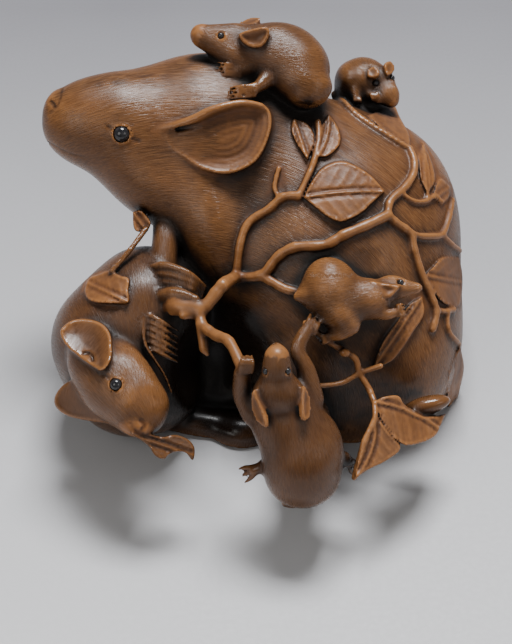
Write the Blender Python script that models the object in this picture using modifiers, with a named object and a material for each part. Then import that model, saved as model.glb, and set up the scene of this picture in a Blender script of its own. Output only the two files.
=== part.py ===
# Okimono of a large rat with five younger ones, vine and leaves, carved from one block of wood,
# with twelve inlaid eye beads. Metres, Z up, the front of the group towards -Y.
import math

import bmesh
import bpy
import numpy as np
from mathutils import Matrix, Vector
from mathutils.bvhtree import BVHTree

# Overall size. Every pose figure below is a share of the height: one unit is TALL / 95.
TALL = 0.095
UNIT = TALL / 95.0

# The pose is laid out as it is seen from in front and above: across, up and near, in units.
# SIGHT is the distance of that look, LIFT the height of its middle above the floor.
SIGHT = 500.0
LIFT = 4.0
SLOPE = math.sqrt(0.5)

# Carving
VOXEL_MASS = 1.3
VOXEL_FINE = 0.85
FACETS = 6700
VINE = 1.35
TRUNK_VINE = 2.1
LEAF = 1.2
EAR = 1.1
FINGER = 1.6

# Inlaid eyes: radius of each bead and how much of it stands out of the wood
BEAD_LARGE = 2.3
BEAD_LEFT = 1.65
BEAD_SMALL = 0.85
BEAD_GAP = 0.14
BEAD_OUT = 0.35

SURFACE_WOOD = (0.30, 0.15, 0.07, 1.0)
SURFACE_HORN = (0.02, 0.02, 0.022, 1.0)


def at(across, up, near):
    """A point from how it is seen: across and up on the picture plane, near towards the eye."""
    s = 1.0 - near / SIGHT
    return true((across * s, up * s, near))


def true(p):
    """World point in metres for a point given in the frame of the look."""
    x, u, n = p
    return Vector((x, (u - n) * SLOPE, (u + n) * SLOPE + LIFT)) * UNIT


def way(d):
    """World direction for a direction given in the frame of the look."""
    x, u, n = d
    return Vector((x, (u - n) * SLOPE, (u + n) * SLOPE)).normalized()


def frame(long, up):
    """Three square directions: along long, towards up, and to the side."""
    a = way(long)
    b = way(up)
    b = (b - a * a.dot(b)).normalized()
    return a, b, a.cross(b)


HEADS = {}
PLAIN = (way((1, 0, 0)), way((0, 1, 0)), way((0, 0, 1)))


def shrink(near):
    """True length of one unit seen at this nearness."""
    return (1.0 - near / SIGHT) * UNIT


def clear_scene():
    for obj in list(bpy.data.objects):
        bpy.data.objects.remove(obj, do_unlink=True)


def collection(name):
    c = bpy.data.collections.new(name)
    bpy.context.scene.collection.children.link(c)
    return c


def baked(obj):
    """The mesh of an object once its modifiers are worked in."""
    graph = bpy.context.evaluated_depsgraph_get()
    graph.update()
    return bpy.data.meshes.new_from_object(obj.evaluated_get(graph), depsgraph=graph)


def stand(name, mesh, where):
    obj = bpy.data.objects.new(name, mesh)
    where.objects.link(obj)
    return obj


class Clay:
    """Lumps, limbs and blades gathered into one mesh, in metres."""

    def __init__(self, bench):
        self.bm = bmesh.new()
        self.bench = bench

    def take(self, mesh):
        self.bm.from_mesh(mesh)
        bpy.data.meshes.remove(mesh)

    def egg(self, c, radii, axes=PLAIN, taper=0.0, raw=None):
        """An egg: centre as seen, radii in seen units along three directions."""
        scale = shrink(c[2]) if raw is None else raw
        centre = at(*c) if raw is None else c
        piece = bmesh.new()
        bmesh.ops.create_uvsphere(piece, u_segments=28, v_segments=18, radius=1.0)
        turn = Matrix((axes[0], axes[1], axes[2])).transposed()
        for v in piece.verts:
            s = 1.0 - taper * v.co.x
            v.co = centre + turn @ Vector((v.co.x * radii[0], v.co.y * s * radii[1], v.co.z * s * radii[2])) * scale
        if turn.determinant() < 0:
            bmesh.ops.reverse_faces(piece, faces=piece.faces)
        mesh = bpy.data.meshes.new("egg")
        piece.to_mesh(mesh)
        piece.free()
        self.take(mesh)

    def limb(self, points, radii, scale=None):
        """A round tapering limb through world points."""
        count = len(points)
        if not hasattr(radii, "__len__"):
            radii = [radii] * count
        curve = bpy.data.curves.new("limb", "CURVE")
        curve.dimensions = "3D"
        curve.bevel_depth = 1.0
        curve.bevel_resolution = 3
        curve.resolution_u = 5
        curve.use_fill_caps = True
        spline = curve.splines.new("BEZIER")
        spline.bezier_points.add(count - 1)
        for b, p, r in zip(spline.bezier_points, points, radii):
            b.co = p
            b.radius = r * scale
            b.handle_left_type = "AUTO"
            b.handle_right_type = "AUTO"
        obj = stand("limb", curve, self.bench)
        mesh = baked(obj)
        bpy.data.objects.remove(obj, do_unlink=True)
        bpy.data.curves.remove(curve)
        piece = bmesh.new()
        piece.from_mesh(mesh)
        bmesh.ops.remove_doubles(piece, verts=piece.verts, dist=0.00001)
        piece.to_mesh(mesh)
        piece.free()
        self.take(mesh)
        for p, r in ((points[0], radii[0]), (points[-1], radii[-1])):
            self.egg(p, (r, r, r), raw=scale)

    def seen_limb(self, points, radii):
        self.limb([at(*p) for p in points], radii, shrink(points[0][2]))

    def sheet(self, place, thick):
        """A curved plate: place(share along, share across) gives the world point of its middle."""
        piece = bmesh.new()
        bmesh.ops.create_grid(piece, x_segments=12, y_segments=6, size=0.5)
        for v in piece.verts:
            v.co = place(v.co.x + 0.5, v.co.y)
        mesh = bpy.data.meshes.new("sheet")
        piece.to_mesh(mesh)
        piece.free()
        self.thicken(mesh, thick)

    def blade(self, place, long, wide, thick, fat=0.45, bend=0.0):
        """A leaf or ear: place(share along, width) gives the world point of its middle sheet."""
        piece = bmesh.new()
        bmesh.ops.create_grid(piece, x_segments=12, y_segments=6, size=0.5)
        peak = fat / (fat + 0.62)
        top = peak ** fat * (1.0 - peak) ** 0.62
        for v in piece.verts:
            t = min(max(v.co.x + 0.5, 0.0), 1.0)
            s = 2.0 * v.co.y
            e = min(max(t, 0.002), 0.998)
            half = wide / 2.0 * max(e ** fat * (1.0 - e) ** 0.62 / top, 0.06)
            v.co = place(t, s * half + bend * 4.0 * t * (1.0 - t))
        mesh = bpy.data.meshes.new("blade")
        piece.to_mesh(mesh)
        piece.free()
        self.thicken(mesh, thick)

    def thicken(self, mesh, thick):
        obj = stand("plate", mesh, self.bench)
        solid = obj.modifiers.new("thickness", "SOLIDIFY")
        solid.thickness = 2.0 * thick * UNIT
        solid.offset = 0.0
        solid.use_even_offset = True
        made = baked(obj)
        bpy.data.objects.remove(obj, do_unlink=True)
        bpy.data.meshes.remove(mesh)
        self.take(made)

    def mesh(self, name):
        m = bpy.data.meshes.new(name)
        bmesh.ops.recalc_face_normals(self.bm, faces=self.bm.faces)
        self.bm.to_mesh(m)
        return m


def fuse(name, mesh, voxel, rounds, where):
    """One closed skin over all the lumps of a mesh, softened where they meet."""
    obj = stand(name, mesh, where)
    skin = obj.modifiers.new("skin", "REMESH")
    skin.mode = "VOXEL"
    skin.voxel_size = voxel * UNIT
    soft = obj.modifiers.new("soft", "SMOOTH")
    soft.factor = 0.5
    soft.iterations = rounds
    made = baked(obj)
    bpy.data.objects.remove(obj, do_unlink=True)
    return made


def largest(mesh):
    """The mesh with only its largest connected skin kept."""
    piece = bmesh.new()
    piece.from_mesh(mesh)
    left = set(piece.verts)
    skins = []
    while left:
        edge = [left.pop()]
        skin_verts = set(edge)
        while edge:
            v = edge.pop()
            for e in v.link_edges:
                o = e.other_vert(v)
                if o in left:
                    left.discard(o)
                    skin_verts.add(o)
                    edge.append(o)
        skins.append(skin_verts)
    skins.sort(key=len)
    for small in skins[:-1]:
        bmesh.ops.delete(piece, geom=list(small), context="VERTS")
    piece.to_mesh(mesh)
    piece.free()
    return mesh


def draper(mesh):
    """Gives the point of a skin met by a line of sight, raised towards the eye."""
    piece = bmesh.new()
    piece.from_mesh(mesh)
    tree = BVHTree.FromBMesh(piece)
    piece.free()

    def drape(across, up, lift, deep=15.0):
        start = at(across, up, 110.0)
        aim = at(across, up, -60.0) - start
        hit = tree.ray_cast(start, aim.normalized(), aim.length)[0]
        if hit is None:
            hit = at(across, up, deep)
        return hit - aim.normalized() * lift * UNIT
    return drape


def head(clay, name, c, fwd, up, long, wide=1.0, deep=1.0):
    """Skull, snout and nose of a rat; long is the length from nape to nose."""
    axes = frame(fwd, up)
    size = long * shrink(c[2])
    middle = at(*c)

    def spot(x, y, z):
        return middle + (axes[0] * x + axes[1] * y + axes[2] * z) * size
    clay.egg(spot(0, 0, 0), (0.34, 0.25 * deep, 0.24 * wide), axes, 0.0, size)
    clay.egg(spot(0.30, -0.03, 0), (0.30, 0.165 * deep, 0.16 * wide), axes, 0.28, size)
    clay.egg(spot(0.50, -0.035, 0), (0.13, 0.10, 0.10 * wide), axes, 0.0, size)
    HEADS[name] = (middle, axes, size)


def ear(clay, root, tip, face, wide, rim=1.0, thick=EAR, fat=1.1):
    """A dished ear from root to tip, opening towards face."""
    a, b = at(*root), at(*tip)
    long = b - a
    out = way(face)
    out = (out - long.normalized() * out.dot(long.normalized())).normalized()
    side = out.cross(long.normalized())
    s = shrink(root[2])

    def place(t, w):
        return a + long * t + side * w * s + out * (rim * (2.0 * w / wide) ** 2) * s
    clay.blade(place, long.length, wide, thick, fat)


def paw(clay, wrist, along, out, size, count, spread=0.4, curl=0.4):
    """Palm and fingers of a small paw."""
    d = way(along)
    n = way(out)
    n = (n - d * n.dot(d)).normalized()
    s = n.cross(d)
    w = at(*wrist)
    g = size * shrink(wrist[2])
    clay.egg(w + d * g * 0.22, (0.30, 0.24, 0.15), (d, s, n), 0.0, g)
    for i in range(count):
        q = (i - (count - 1) / 2.0) / max(count - 1, 1)
        b = w + d * g * 0.35 + s * g * 0.42 * q
        f = (d + s * spread * q * 1.6).normalized()
        clay.limb([b, b + f * g * 0.36 + n * g * 0.06, b + f * g * 0.66 - n * g * curl * 0.5],
                  [0.12, 0.12, 0.09], g)


def large_rat(clay):
    """Trunk, belly, haunch, throat and head of the large rat."""
    clay.egg((20.5, 17, 14), (40.6, 48.5, 42.5))
    clay.egg((37.5, 32, 14), (21.6, 26.4, 28))
    clay.egg((41, -4, 20), (20.8, 27.8, 29.2))
    clay.egg((-9, -13, 11), (23, 21, 17))
    clay.egg((26, -16, 18), (25, 23, 23))
    clay.egg((8, 42, 24), (27.6, 27.6, 25.4))
    clay.egg((3, 20, 30), (15, 23, 19))
    axes = frame((-1, 0.12, 0.16), (0, 1, 0.1))
    clay.egg((-14, 54.5, 30), (29, 26.1, 23.5), axes)
    clay.egg((-13, 32, 34), (26, 14.5, 18.9), frame((-0.45, 1, 0), (1, 0, 0)))
    clay.egg((-31.5, 44, 36), (22, 12.4, 15.1), frame((-0.75, 0.6, 0), (1, 0, 0)))
    clay.egg((-37, 58.8, 36), (23, 16.5, 17.1), axes)
    clay.egg((-29, 66.5, 31), (16, 8.5, 11), frame((1, 0.22, 0), (0, 1, 0)))
    clay.egg((-51.2, 59.4, 39), (13.3, 12.3, 12.5), axes)
    HEADS["large"] = (at(-38, 57.3, 36), axes, 60 * UNIT)


def hollows(clay):
    """Room under the chest and around the young ones."""
    clay.egg((-13, -14, 56), (17, 17, 28))
    clay.egg((0, -3, 60), (13, 9, 16), frame((1, -0.15, 0), (0, 1, 0)))
    clay.egg((9, 15, 68), (7, 6, 12), frame((1, 0.3, 0), (0, 1, 0)))
    clay.egg((22, -13, 64), (10, 8, 12))
    clay.egg((27, -27, 58), (8, 11, 12))
    clay.egg((35, 20, 62), (9, 5, 9), frame((1, 0.1, 0), (0, 1, 0)))


def left_room(clay):
    """Room between the left rat and the branch."""
    clay.egg((-12, -17, 54), (12, 19, 32))


def left_rat(clay):
    clay.egg((-40.5, -6, 36), (20.8, 20.3, 24))
    clay.egg((-33, 3, 36), (18.3, 19.8, 23))
    clay.egg((-36, -18, 32), (19.5, 16.5, 20.5))


def left_head(clay):
    """Head of the left rat, laid over its own back and looking down to the right."""
    fwd, up = (0.50, -0.78, 0.32), (-0.52, 0.05, 0.72)
    head(clay, "left", (-46.5, -13.5, 56), fwd, up, 36, 1.1, 1.05)
    axes = frame(fwd, up)
    clay.egg((-42, -18, 60), (12, 10, 11.5), axes)
    clay.egg((-37, -23, 63), (10.5, 8.6, 9.5), axes)
    clay.egg((-34, -26, 63), (8, 7.5, 8.5), axes)
    HEADS["left"] = (at(-46.5, -23, 55.5), axes, 36 * UNIT)
    clay.egg((-36.2, -24.2, 65), (2.4, 6.0, 6.5), frame((0.7, -0.6, 0.3), (0.6, 0.7, 0)))
    clay.egg((-35.8, -31.2, 67), (4.6, 3.2, 3.6), frame((1, -0.3, 0), (0, 1, 0)))
    ear(clay, (-44, -13, 69), (-60, -3.5, 60.5), (0.1, 0.45, 0.95), 14.5, 1.5)
    ear(clay, (-47, -23, 57), (-60.5, -25, 51), (-0.3, -0.2, 0.9), 9.5, 1.0)


def large_hands(clay):
    clay.seen_limb([(-26, 34, 38), (-27, 26, 43), (-28, 16, 47)], [5, 4, 4])
    for i in range(4):
        t = i / 3.0
        clay.seen_limb([(-31.5 + t, 15.5 - 2.6 * i, 50), (-26 + t, 16 - 2.8 * i, 55),
                        (-19 - 1.5 * t, 13 - 2.3 * i, 56), (-15 - 3 * t, 10 - 1.8 * i, 53)],
                       [FINGER + 0.3, FINGER + 0.3, FINGER + 0.2, FINGER - 0.3])
    clay.seen_limb([(-27, 6.5, 52), (-21, 7.5, 58), (-15, 6, 60)], [2.6, 2.4, 1.5])
    clay.seen_limb([(-27, 8, 46), (-34, 3, 50), (-34, -4, 53)], [5, 4.2, 4])
    for i in range(5):
        clay.seen_limb([(-34, -0.5 - 2.6 * i, 54.5), (-30.5 + 0.3 * i, -2.4 * i, 57),
                        (-25 + 0.2 * i, -2.5 - 2.3 * i, 54)], [FINGER + 0.2, FINGER - 0.2, FINGER - 0.4])


def front_rat(clay):
    """The young rat climbing at the front, its belly against the large one."""
    clay.egg((14, -33, 50), (9, 13, 18))
    clay.egg((14, -39.5, 66), (12.5, 15.2, 13))
    clay.egg((14, -46.5, 64), (10.8, 9.2, 10))
    clay.egg((8, -28, 69), (10.1, 11.6, 10))
    head(clay, "front", (6.2, -18.7, 76), (0, 1, 0.2), (0, -0.2, 1), 20, 1.05)
    clay.egg((6.8, -21.5, 75), (8.0, 6.0, 5.6))
    clay.egg((6.2, -12.6, 78.5), (4.6, 4.1, 4.0), frame((0, 1, 0.1), (1, 0, 0)))
    clay.egg((6.3, -9.8, 79), (2.6, 3.4, 3.2), frame((0, 1, 0.1), (1, 0, 0)))
    ear(clay, (0.6, -17.8, 79), (2.8, -30.4, 78.6), (-0.55, 0.1, 0.8), 5, 0.6, 0.8, 0.9)
    ear(clay, (11.4, -17.4, 79), (13.4, -28.4, 79), (0.55, 0.1, 0.8), 5, 0.6, 0.8, 0.9)
    clay.seen_limb([(-0.5, -27, 69), (-4, -21.5, 71), (-4.2, -15.5, 75)], [4.2, 3.0, 2.5])
    paw(clay, (-3.4, -16, 76.5), (0, 1, 0.1), (0, -0.2, 1), 6.5, 4)
    clay.seen_limb([(16, -23, 67), (15.2, -15, 69), (12.6, -9, 69), (14, -4.5, 68), (17.4, 0.5, 65)],
                   [4.4, 2.9, 2.4, 2.2, 2.0])
    clay.seen_limb([(8, -46, 62), (3, -43.5, 62)], [4, 2.4])
    paw(clay, (3.5, -43.4, 63), (-1, -0.25, 0.1), (0, 0.2, 1), 8, 3, 0.3)
    clay.seen_limb([(20, -44, 62), (26, -41, 62)], [4, 2.4])
    paw(clay, (26, -41, 62), (1, -0.45, 0.1), (0, 0.2, 1), 6.5, 3, 0.3)
    clay.seen_limb([(11, -51, 62), (8.6, -54.2, 60), (14, -54, 57), (21, -50.5, 57)], [2.6, 1.4, 1.6, 1.6])


def middle_rat(clay):
    clay.egg((22.6, 9.4, 58.5), (10.4, 8.8, 9.7), frame((-0.35, 1, 0), (1, 0, 0)))
    clay.egg((26.4, 2.0, 60.5), (4.4, 6.4, 6.7), frame((1, 0.4, 0), (0, 1, 0)))
    clay.egg((33.2, 7.0, 59), (7.6, 6.4, 7.2), frame((1, 0.05, 0), (0, 1, 0)))
    clay.egg((17, 8.2, 58), (4.8, 3.2, 4))
    head(clay, "middle", (40.4, 10.3, 57.5), (1, 0.05, 0.12), (-0.1, 1, 0.2), 15, 1.05)
    ear(clay, (43, 11, 61.5), (36.4, 8.8, 62), (0.1, -0.2, 1.0), 4, 0.4, 0.8)
    clay.seen_limb([(35, 4, 59), (39, 2.4, 61), (44, 3.4, 60.5)], [3.0, 1.8, 1.3])
    clay.seen_limb([(28, -1, 62), (25, -3.6, 62), (19.5, -5.2, 60.5)], [3.2, 2.0, 1.4])


def top_rats(clay):
    clay.egg((10.4, 78.0, 38), (12.8, 10.2, 11), frame((1, -0.95, 0), (0, 1, 0)))
    clay.egg((12.2, 75.5, 42), (8.2, 9.0, 8), frame((0.6, -1, 0), (1, 0.6, 0)))
    clay.egg((3, 80.2, 40), (11.2, 8.6, 9), frame((1, -0.35, 0), (0, 1, 0)))
    clay.egg((14.8, 71.4, 44), (6, 8.4, 6.8), frame((0.25, 1, 0), (1, 0, 0)))
    clay.egg((15.2, 67.4, 44), (5.4, 3.4, 5.5))
    head(clay, "top", (-6.2, 84.2, 42), (-1, 0.08, 0.1), (0, 1, 0.15), 19, 1.05, 1.15)
    clay.egg((-12.6, 85.0, 42.6), (6.8, 4.3, 4.5), frame((-1, 0.22, 0.05), (0, 1, 0)), 0.12)
    clay.egg((-16.6, 86.2, 43), (3.1, 3.2, 3.3))
    clay.egg((-6.4, 79.6, 42), (8.6, 4.8, 6.2), frame((1, -0.85, 0), (0, 1, 0)))
    ear(clay, (-5.4, 85, 48.5), (4.4, 86.6, 50), (0, 0.25, 1), 5.8, 0.5, 0.8)
    ear(clay, (-6, 87.6, 42), (1, 90.6, 38), (0, 0.8, 0.5), 4.4, 0.5, 0.8)
    clay.seen_limb([(-1, 77, 44), (-5, 75.4, 45.5), (-11.5, 75.8, 45)], [3, 1.9, 1.3])
    clay.seen_limb([(3, 72.6, 46), (-0.5, 69.6, 49), (-8, 68.6, 49)], [3, 1.9, 1.3])
    clay.egg((32, 72.2, 16), (8, 7.4, 9.2), frame((1, -0.1, 0), (0, 1, 0)))
    clay.egg((31.5, 65.6, 12), (8.5, 6.5, 10), frame((1, -0.3, 0), (0, 1, 0)))
    clay.egg((27.6, 72.4, 16), (3.8, 4.8, 7))
    head(clay, "second", (37.4, 72.2, 20), (0.42, -0.80, 0.45), (0.1, 0.5, 0.8), 15, 1.15)
    clay.egg((39.6, 68.2, 22.5), (3.5, 3.5, 3.3))
    clay.egg((40.9, 66.3, 23), (1.8, 1.8, 1.9))
    ear(clay, (39.0, 73.4, 24), (40.4, 77.8, 21.5), (0.5, 0.2, 1), 4, 0.4, 0.8)
    ear(clay, (33.4, 73.2, 25), (36.6, 75.8, 25), (-0.2, 0.4, 1), 4, 0.4, 0.8)
    clay.seen_limb([(35, 70.6, 21), (34.6, 68, 23), (36.4, 66.2, 24)], [2.6, 1.6, 1.3])
    clay.seen_limb([(30, 72, 20), (29.8, 68.8, 22.6), (30.4, 66, 23)], [2.4, 1.4, 1.2])


def vine(clay, drape, stations, radius=VINE, lift=0.5):
    clay.limb([drape(a, u, lift) for a, u in stations], radius, UNIT * 0.9)


def edges(base, tip, above, below):
    """Gives the seen place inside a leaf: a share along it and one across, from edge to edge."""
    b, t = np.array(base, float), np.array(tip, float)
    long = np.linalg.norm(t - b)
    along = (t - b) / long
    side = np.array([-along[1], along[0]])
    rims = []
    for stations in (above, below[::-1]):
        shares = [0.0] + [float((np.array(p) - b) @ along) / long for p in stations] + [1.0]
        widths = [0.25] + [float((np.array(p) - b) @ side) for p in stations] + [0.1]
        widths[0] = math.copysign(widths[0], widths[1])
        widths[-1] = math.copysign(widths[-1], widths[-2])
        rims.append((shares, widths))

    def place(share, across):
        high = np.interp(share, *rims[0])
        low = np.interp(share, *rims[1])
        return b + (t - b) * share + side * (low + (high - low) * (across + 0.5))
    return place


def leaf(clay, drape, base, tip, above, below, lift=0.3, thick=LEAF):
    """A leaf lying on the skin, its edge on either side given by seen stations."""
    inside = edges(base, tip, above, below)

    def place(share, across):
        p = inside(share, across)
        return drape(p[0], p[1], lift)
    clay.sheet(place, thick)


def free_leaf(clay, base, tip, above, below, nearness):
    """A leaf standing free: nearness gives its sheet."""
    inside = edges(base, tip, above, below)

    def place(share, across):
        p = inside(share, across)
        return at(p[0], p[1], nearness(p[0], p[1]))
    clay.sheet(place, LEAF + 0.4)


def rounder(mesh):
    """Gives the point of a skin met from outside at a bearing and height, raised outward."""
    piece = bmesh.new()
    piece.from_mesh(mesh)
    tree = BVHTree.FromBMesh(piece)
    piece.free()
    axis = Vector((21.0, 3.0, 0.0)) * UNIT

    def around(degrees, height, lift):
        t = math.radians(degrees)
        out = Vector((math.cos(t), math.sin(t), 0.0))
        start = axis + out * 90.0 * UNIT + Vector((0.0, 0.0, height * UNIT))
        hit = tree.ray_cast(start, -out, 1.0)[0]
        return hit + out * lift * UNIT
    return around


def hind_parts(clay, around):
    """Hind foot, the tail round the back, and plainer vine and leaves on the hidden side."""
    clay.egg((51, -25, 50), (7.5, 2.8, 4.5), frame((1, 0.25, 0), (0, 1, 0)))
    tail = [around(14.0 + 19.0 * i, 9.0 - 0.4 * i, 1.0) for i in range(9)]
    clay.limb(tail, [4.6 - 0.42 * i for i in range(9)], UNIT)
    for start, rise, run in ((20.0, 30.0, 16.0), (75.0, 26.0, 17.0), (120.0, 30.0, 13.0)):
        stem = [around(start + run * i, rise + 7.0 * math.sin(1.3 * i) + 3.0 * i, 0.5) for i in range(4)]
        clay.limb(stem, VINE, UNIT)
        for k in (1, 3):
            base = start + run * k
            height = rise + 7.0 * math.sin(1.3 * k) + 3.0 * k

            def place(share, w):
                return around(base + 3.0 + 17.0 * share, height + 5.0 * share + w, 0.4)
            clay.blade(place, 1.0, 10.0, LEAF, 0.45, 1.0)


def stems(clay, skin):
    """Vine stems over the flank and free in front of it."""
    clay.seen_limb([(-25, 4, 57), (-17, 3, 60)], [2.8, 2.4])
    clay.limb([at(-17, 3, 60), at(-14, 6, 60), at(-10, 11, 58), skin(-6, 13.5, 1.0)], TRUNK_VINE, UNIT * 0.9)
    vine(clay, skin, [(-6, 13.5), (-4.6, 24), (-2, 30), (4, 34), (8, 37.5), (12.8, 38)])
    vine(clay, skin, [(12.8, 37.6), (16.2, 44.9), (17.7, 49.4), (18.8, 55.4), (18.5, 59.9)], 1.15)
    vine(clay, skin, [(7, 37.4), (5.6, 40), (6, 43), (6.8, 46)], 0.9)
    vine(clay, skin, [(-6, 13.5), (0, 13.6), (3, 15), (6.5, 19.5), (11.7, 22.4), (20.7, 23.1), (26, 26),
                      (33.5, 29.2), (39.5, 32)], 1.75, 0.8)
    vine(clay, skin, [(39.5, 32), (40.4, 36.4), (44.7, 40.4), (47.2, 44.4), (47.4, 48.4), (46, 52)])
    vine(clay, skin, [(1, 14), (5, 12), (9, 9.8), (14.5, 8.6)], 1.6, 0.8)
    vine(clay, skin, [(39.5, 32), (42.4, 29.6), (46.4, 26.4), (47.4, 21.8), (49.7, 14.1), (52.6, 7.4), (54, 3),
                      (53, -2)], 1.45)
    vine(clay, skin, [(54, 3.6), (57, 3.2), (59.3, 3.8)], 1.0)
    vine(clay, skin, [(57.4, 3.2), (57.8, -2.6), (61, -6.7)], 1.0)
    vine(clay, skin, [(44.6, 28), (47.7, 26.1), (52.2, 25.7), (56, 26.5), (58, 32), (58.8, 36.6)], 1.15)
    vine(clay, skin, [(56, 26), (58.6, 23.4), (61, 21.4)], 1.0)
    vine(clay, skin, [(43.6, 38.6), (47.6, 36.2), (51.4, 36.4), (53.4, 38)], 0.9)
    clay.seen_limb([(-17, 3, 60), (-16, -1, 62), (-12, -4, 66), (-8, -6, 70), (-4, -14, 76)], 1.8)
    clay.seen_limb([(-16.4, -1, 62), (-15.6, -8, 62), (-14.6, -9.6, 62)], [1.7, 1.6, 1.0])
    clay.seen_limb([(15, -0.5, 62), (20, -4.6, 61), (24.7, -7.6, 59), (29.7, -10.9, 58), (31, -15.1, 57),
                    (33.9, -20.1, 57), (35.5, -24.2, 61), (35.5, -29.2, 64), (29.4, -46.7, 67.5)], 1.2)
    clay.seen_limb([(31, -15.3, 57), (25.5, -18.3, 58), (18, -19.2, 60), (14, -18.6, 62)], 1.0)
    clay.seen_limb([(31, -15.2, 57), (37.4, -13.2, 59)], 1.0)
    vine(clay, skin, [(23.6, 68.2), (29, 62.9), (34.2, 59.1), (40.2, 55.4), (44.7, 52.6)], 1.2)
    clay.seen_limb([(-33, 28, 44), (-37.8, 21.6, 50), (-43.3, 15.1, 52)], 1.2)


def leaves(clay, skin, side_skin):
    leaf(clay, skin, (15.5, 48.6), (11.2, 61.2), [(12.5, 53), (10.6, 57.6)], [(15.2, 59.6), (17.6, 55)])
    leaf(clay, skin, (18.4, 49.4), (21.8, 62.4), [(18.9, 54), (19.6, 58.6)], [(24.6, 58.2), (25.2, 53.6), (22, 50)])
    leaf(clay, skin, (14.3, 37.4), (38.6, 39.2), [(16.6, 42), (20, 46.2), (25.4, 48.2), (30.6, 46.4), (35, 43.4)],
         [(35, 35.9), (31.2, 32.5), (26, 30.2), (22, 31.3), (17.7, 34.6)], 0.5)
    leaf(clay, skin, (46.2, 52.4), (33.6, 61.8), [(41.7, 55.4), (37.2, 58.4)],
         [(37.2, 63.6), (41, 65.6), (43.2, 61.4), (45.8, 56.4)], 0.6)
    leaf(clay, skin, (51.4, 38.4), (50.2, 54), [(49.4, 43), (48.8, 49)], [(53, 47), (53.6, 42)])
    leaf(clay, skin, (53.4, 37), (58.2, 40.6), [(53.8, 40.6), (55.6, 43)], [(58, 37.6), (56, 35.6)])
    leaf(clay, skin, (50.6, 14), (60.5, 19), [(53, 16.4), (56, 19.4)], [(60.8, 13), (60.4, 5.4), (57, 5.2), (54, 8)])
    leaf(clay, skin, (49.8, 7.6), (35, -14), [(46.2, 5.4), (42.6, 0.6), (38.9, -4.4), (36.2, -10)],
         [(40.3, -11.9), (43.9, -7.8), (47.2, -2.8), (50.4, 2.4)], 0.6)
    leaf(clay, skin, (60.4, -7), (58, -27), [(61, -13.4), (60.6, -19.2), (59.6, -24.6)],
         [(57.3, -22.4), (57.7, -16.6), (59, -11.6)])
    leaf(clay, side_skin, (-38.3, 6), (-51.2, 10.6), [(-42.6, 5.6), (-47.8, 5.8), (-50.6, 7)],
         [(-50.2, 13), (-47, 14.4), (-43.8, 15.4), (-40.6, 13.8), (-38.5, 12.4)], 0.5)
    free_leaf(clay, (35.4, -24), (57, -27.4), [(38.2, -22.5), (42.8, -22.2), (44.8, -25.8), (49, -28.2), (53.6, -28.4)],
              [(55.4, -31), (53.6, -34.3), (48.9, -36.4), (43.8, -36.6), (38.6, -31)],
              lambda a, u: 61 - 0.42 * (a - 36) - 0.12 * (u + 24))
    free_leaf(clay, (35.4, -27), (29.4, -47.4), [(40, -33.4), (43.4, -37.8), (38.9, -41.7), (33.4, -44.4)],
              [(31.6, -38.4), (34.8, -32)], lambda a, u: 64 - 0.35 * (a - 36) - 0.14 * (u + 28))
    free_leaf(clay, (-37.5, -33), (-19, -41), [(-33.5, -33.2), (-28, -34.5), (-24.4, -33.8), (-20.4, -35.2), (-18.4, -38)],
              [(-21.4, -39), (-25.6, -39.4), (-27.6, -41.2), (-30.4, -40), (-33.4, -37)],
              lambda a, u: 66 - 0.25 * (a + 28) + 0.1 * (u + 36))
    free_leaf(clay, (-32.6, 27), (-37, 33), [(-36.4, 27.6)], [(-34.4, 33.4), (-31.6, 30)], lambda a, u: 43.5)
    clay.egg((43, -30.5, 56), (7, 5.5, 3.6), frame((1, -0.3, -0.3), (0, 1, 0.2)))


def floor_feet(clay):
    """Feet of the large rat on the floor under the young ones."""
    clay.egg((-12, -31, 24), (20, 5, 6), frame((1, -0.15, 0), (0, 1, 0)))
    clay.egg((-4, -33, 26), (9, 6, 7))
    clay.seen_limb([(-28, -30, 50), (-22, -31.5, 52), (-14, -31, 50), (-8, -30, 44)], [2.6, 2.8, 3.2, 4])


# Eyes of each head: where the near one is seen, the radius of the bead, and
# the spot the far one sits at, or None where it mirrors the near one
EYES = [
    ("large", (-40.3, 56.3), BEAD_LARGE, None),
    ("left", (-41.8, -18.9), BEAD_LEFT, (-45, -26.5, 47)),
    ("front", (3.1, -14.8), BEAD_SMALL, None),
    ("middle", (43.3, 11.7), BEAD_SMALL, None),
    ("top", (-10.5, 85.8), BEAD_SMALL, None),
    ("second", (36.0, 71.6), BEAD_SMALL, None),
]


def material(name, colour, rough):
    m = bpy.data.materials.new(name)
    m.use_nodes = True
    shader = m.node_tree.nodes["Principled BSDF"]
    shader.inputs["Base Color"].default_value = colour
    shader.inputs["Roughness"].default_value = rough
    return m


def bead(name, place, out, radius, where, colour):
    """An inlaid bead standing out of the wood by its share, and the seat cut for it."""
    r = radius * UNIT
    centre = place - out * r * (1.0 - 2.0 * BEAD_OUT)
    for label, grow, target in ((name, 0.0, where), (name + "_seat", BEAD_GAP * UNIT, bench)):
        piece = bmesh.new()
        bmesh.ops.create_icosphere(piece, subdivisions=2, radius=r + grow)
        mesh = bpy.data.meshes.new(label)
        piece.to_mesh(mesh)
        piece.free()
        for v in mesh.vertices:
            v.co = v.co + centre
        obj = stand(label, mesh, target)
        if target is bench:
            obj.hide_render = True
            obj.display_type = "WIRE"
            seats.append(obj)
        else:
            mesh.materials.append(colour)


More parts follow.
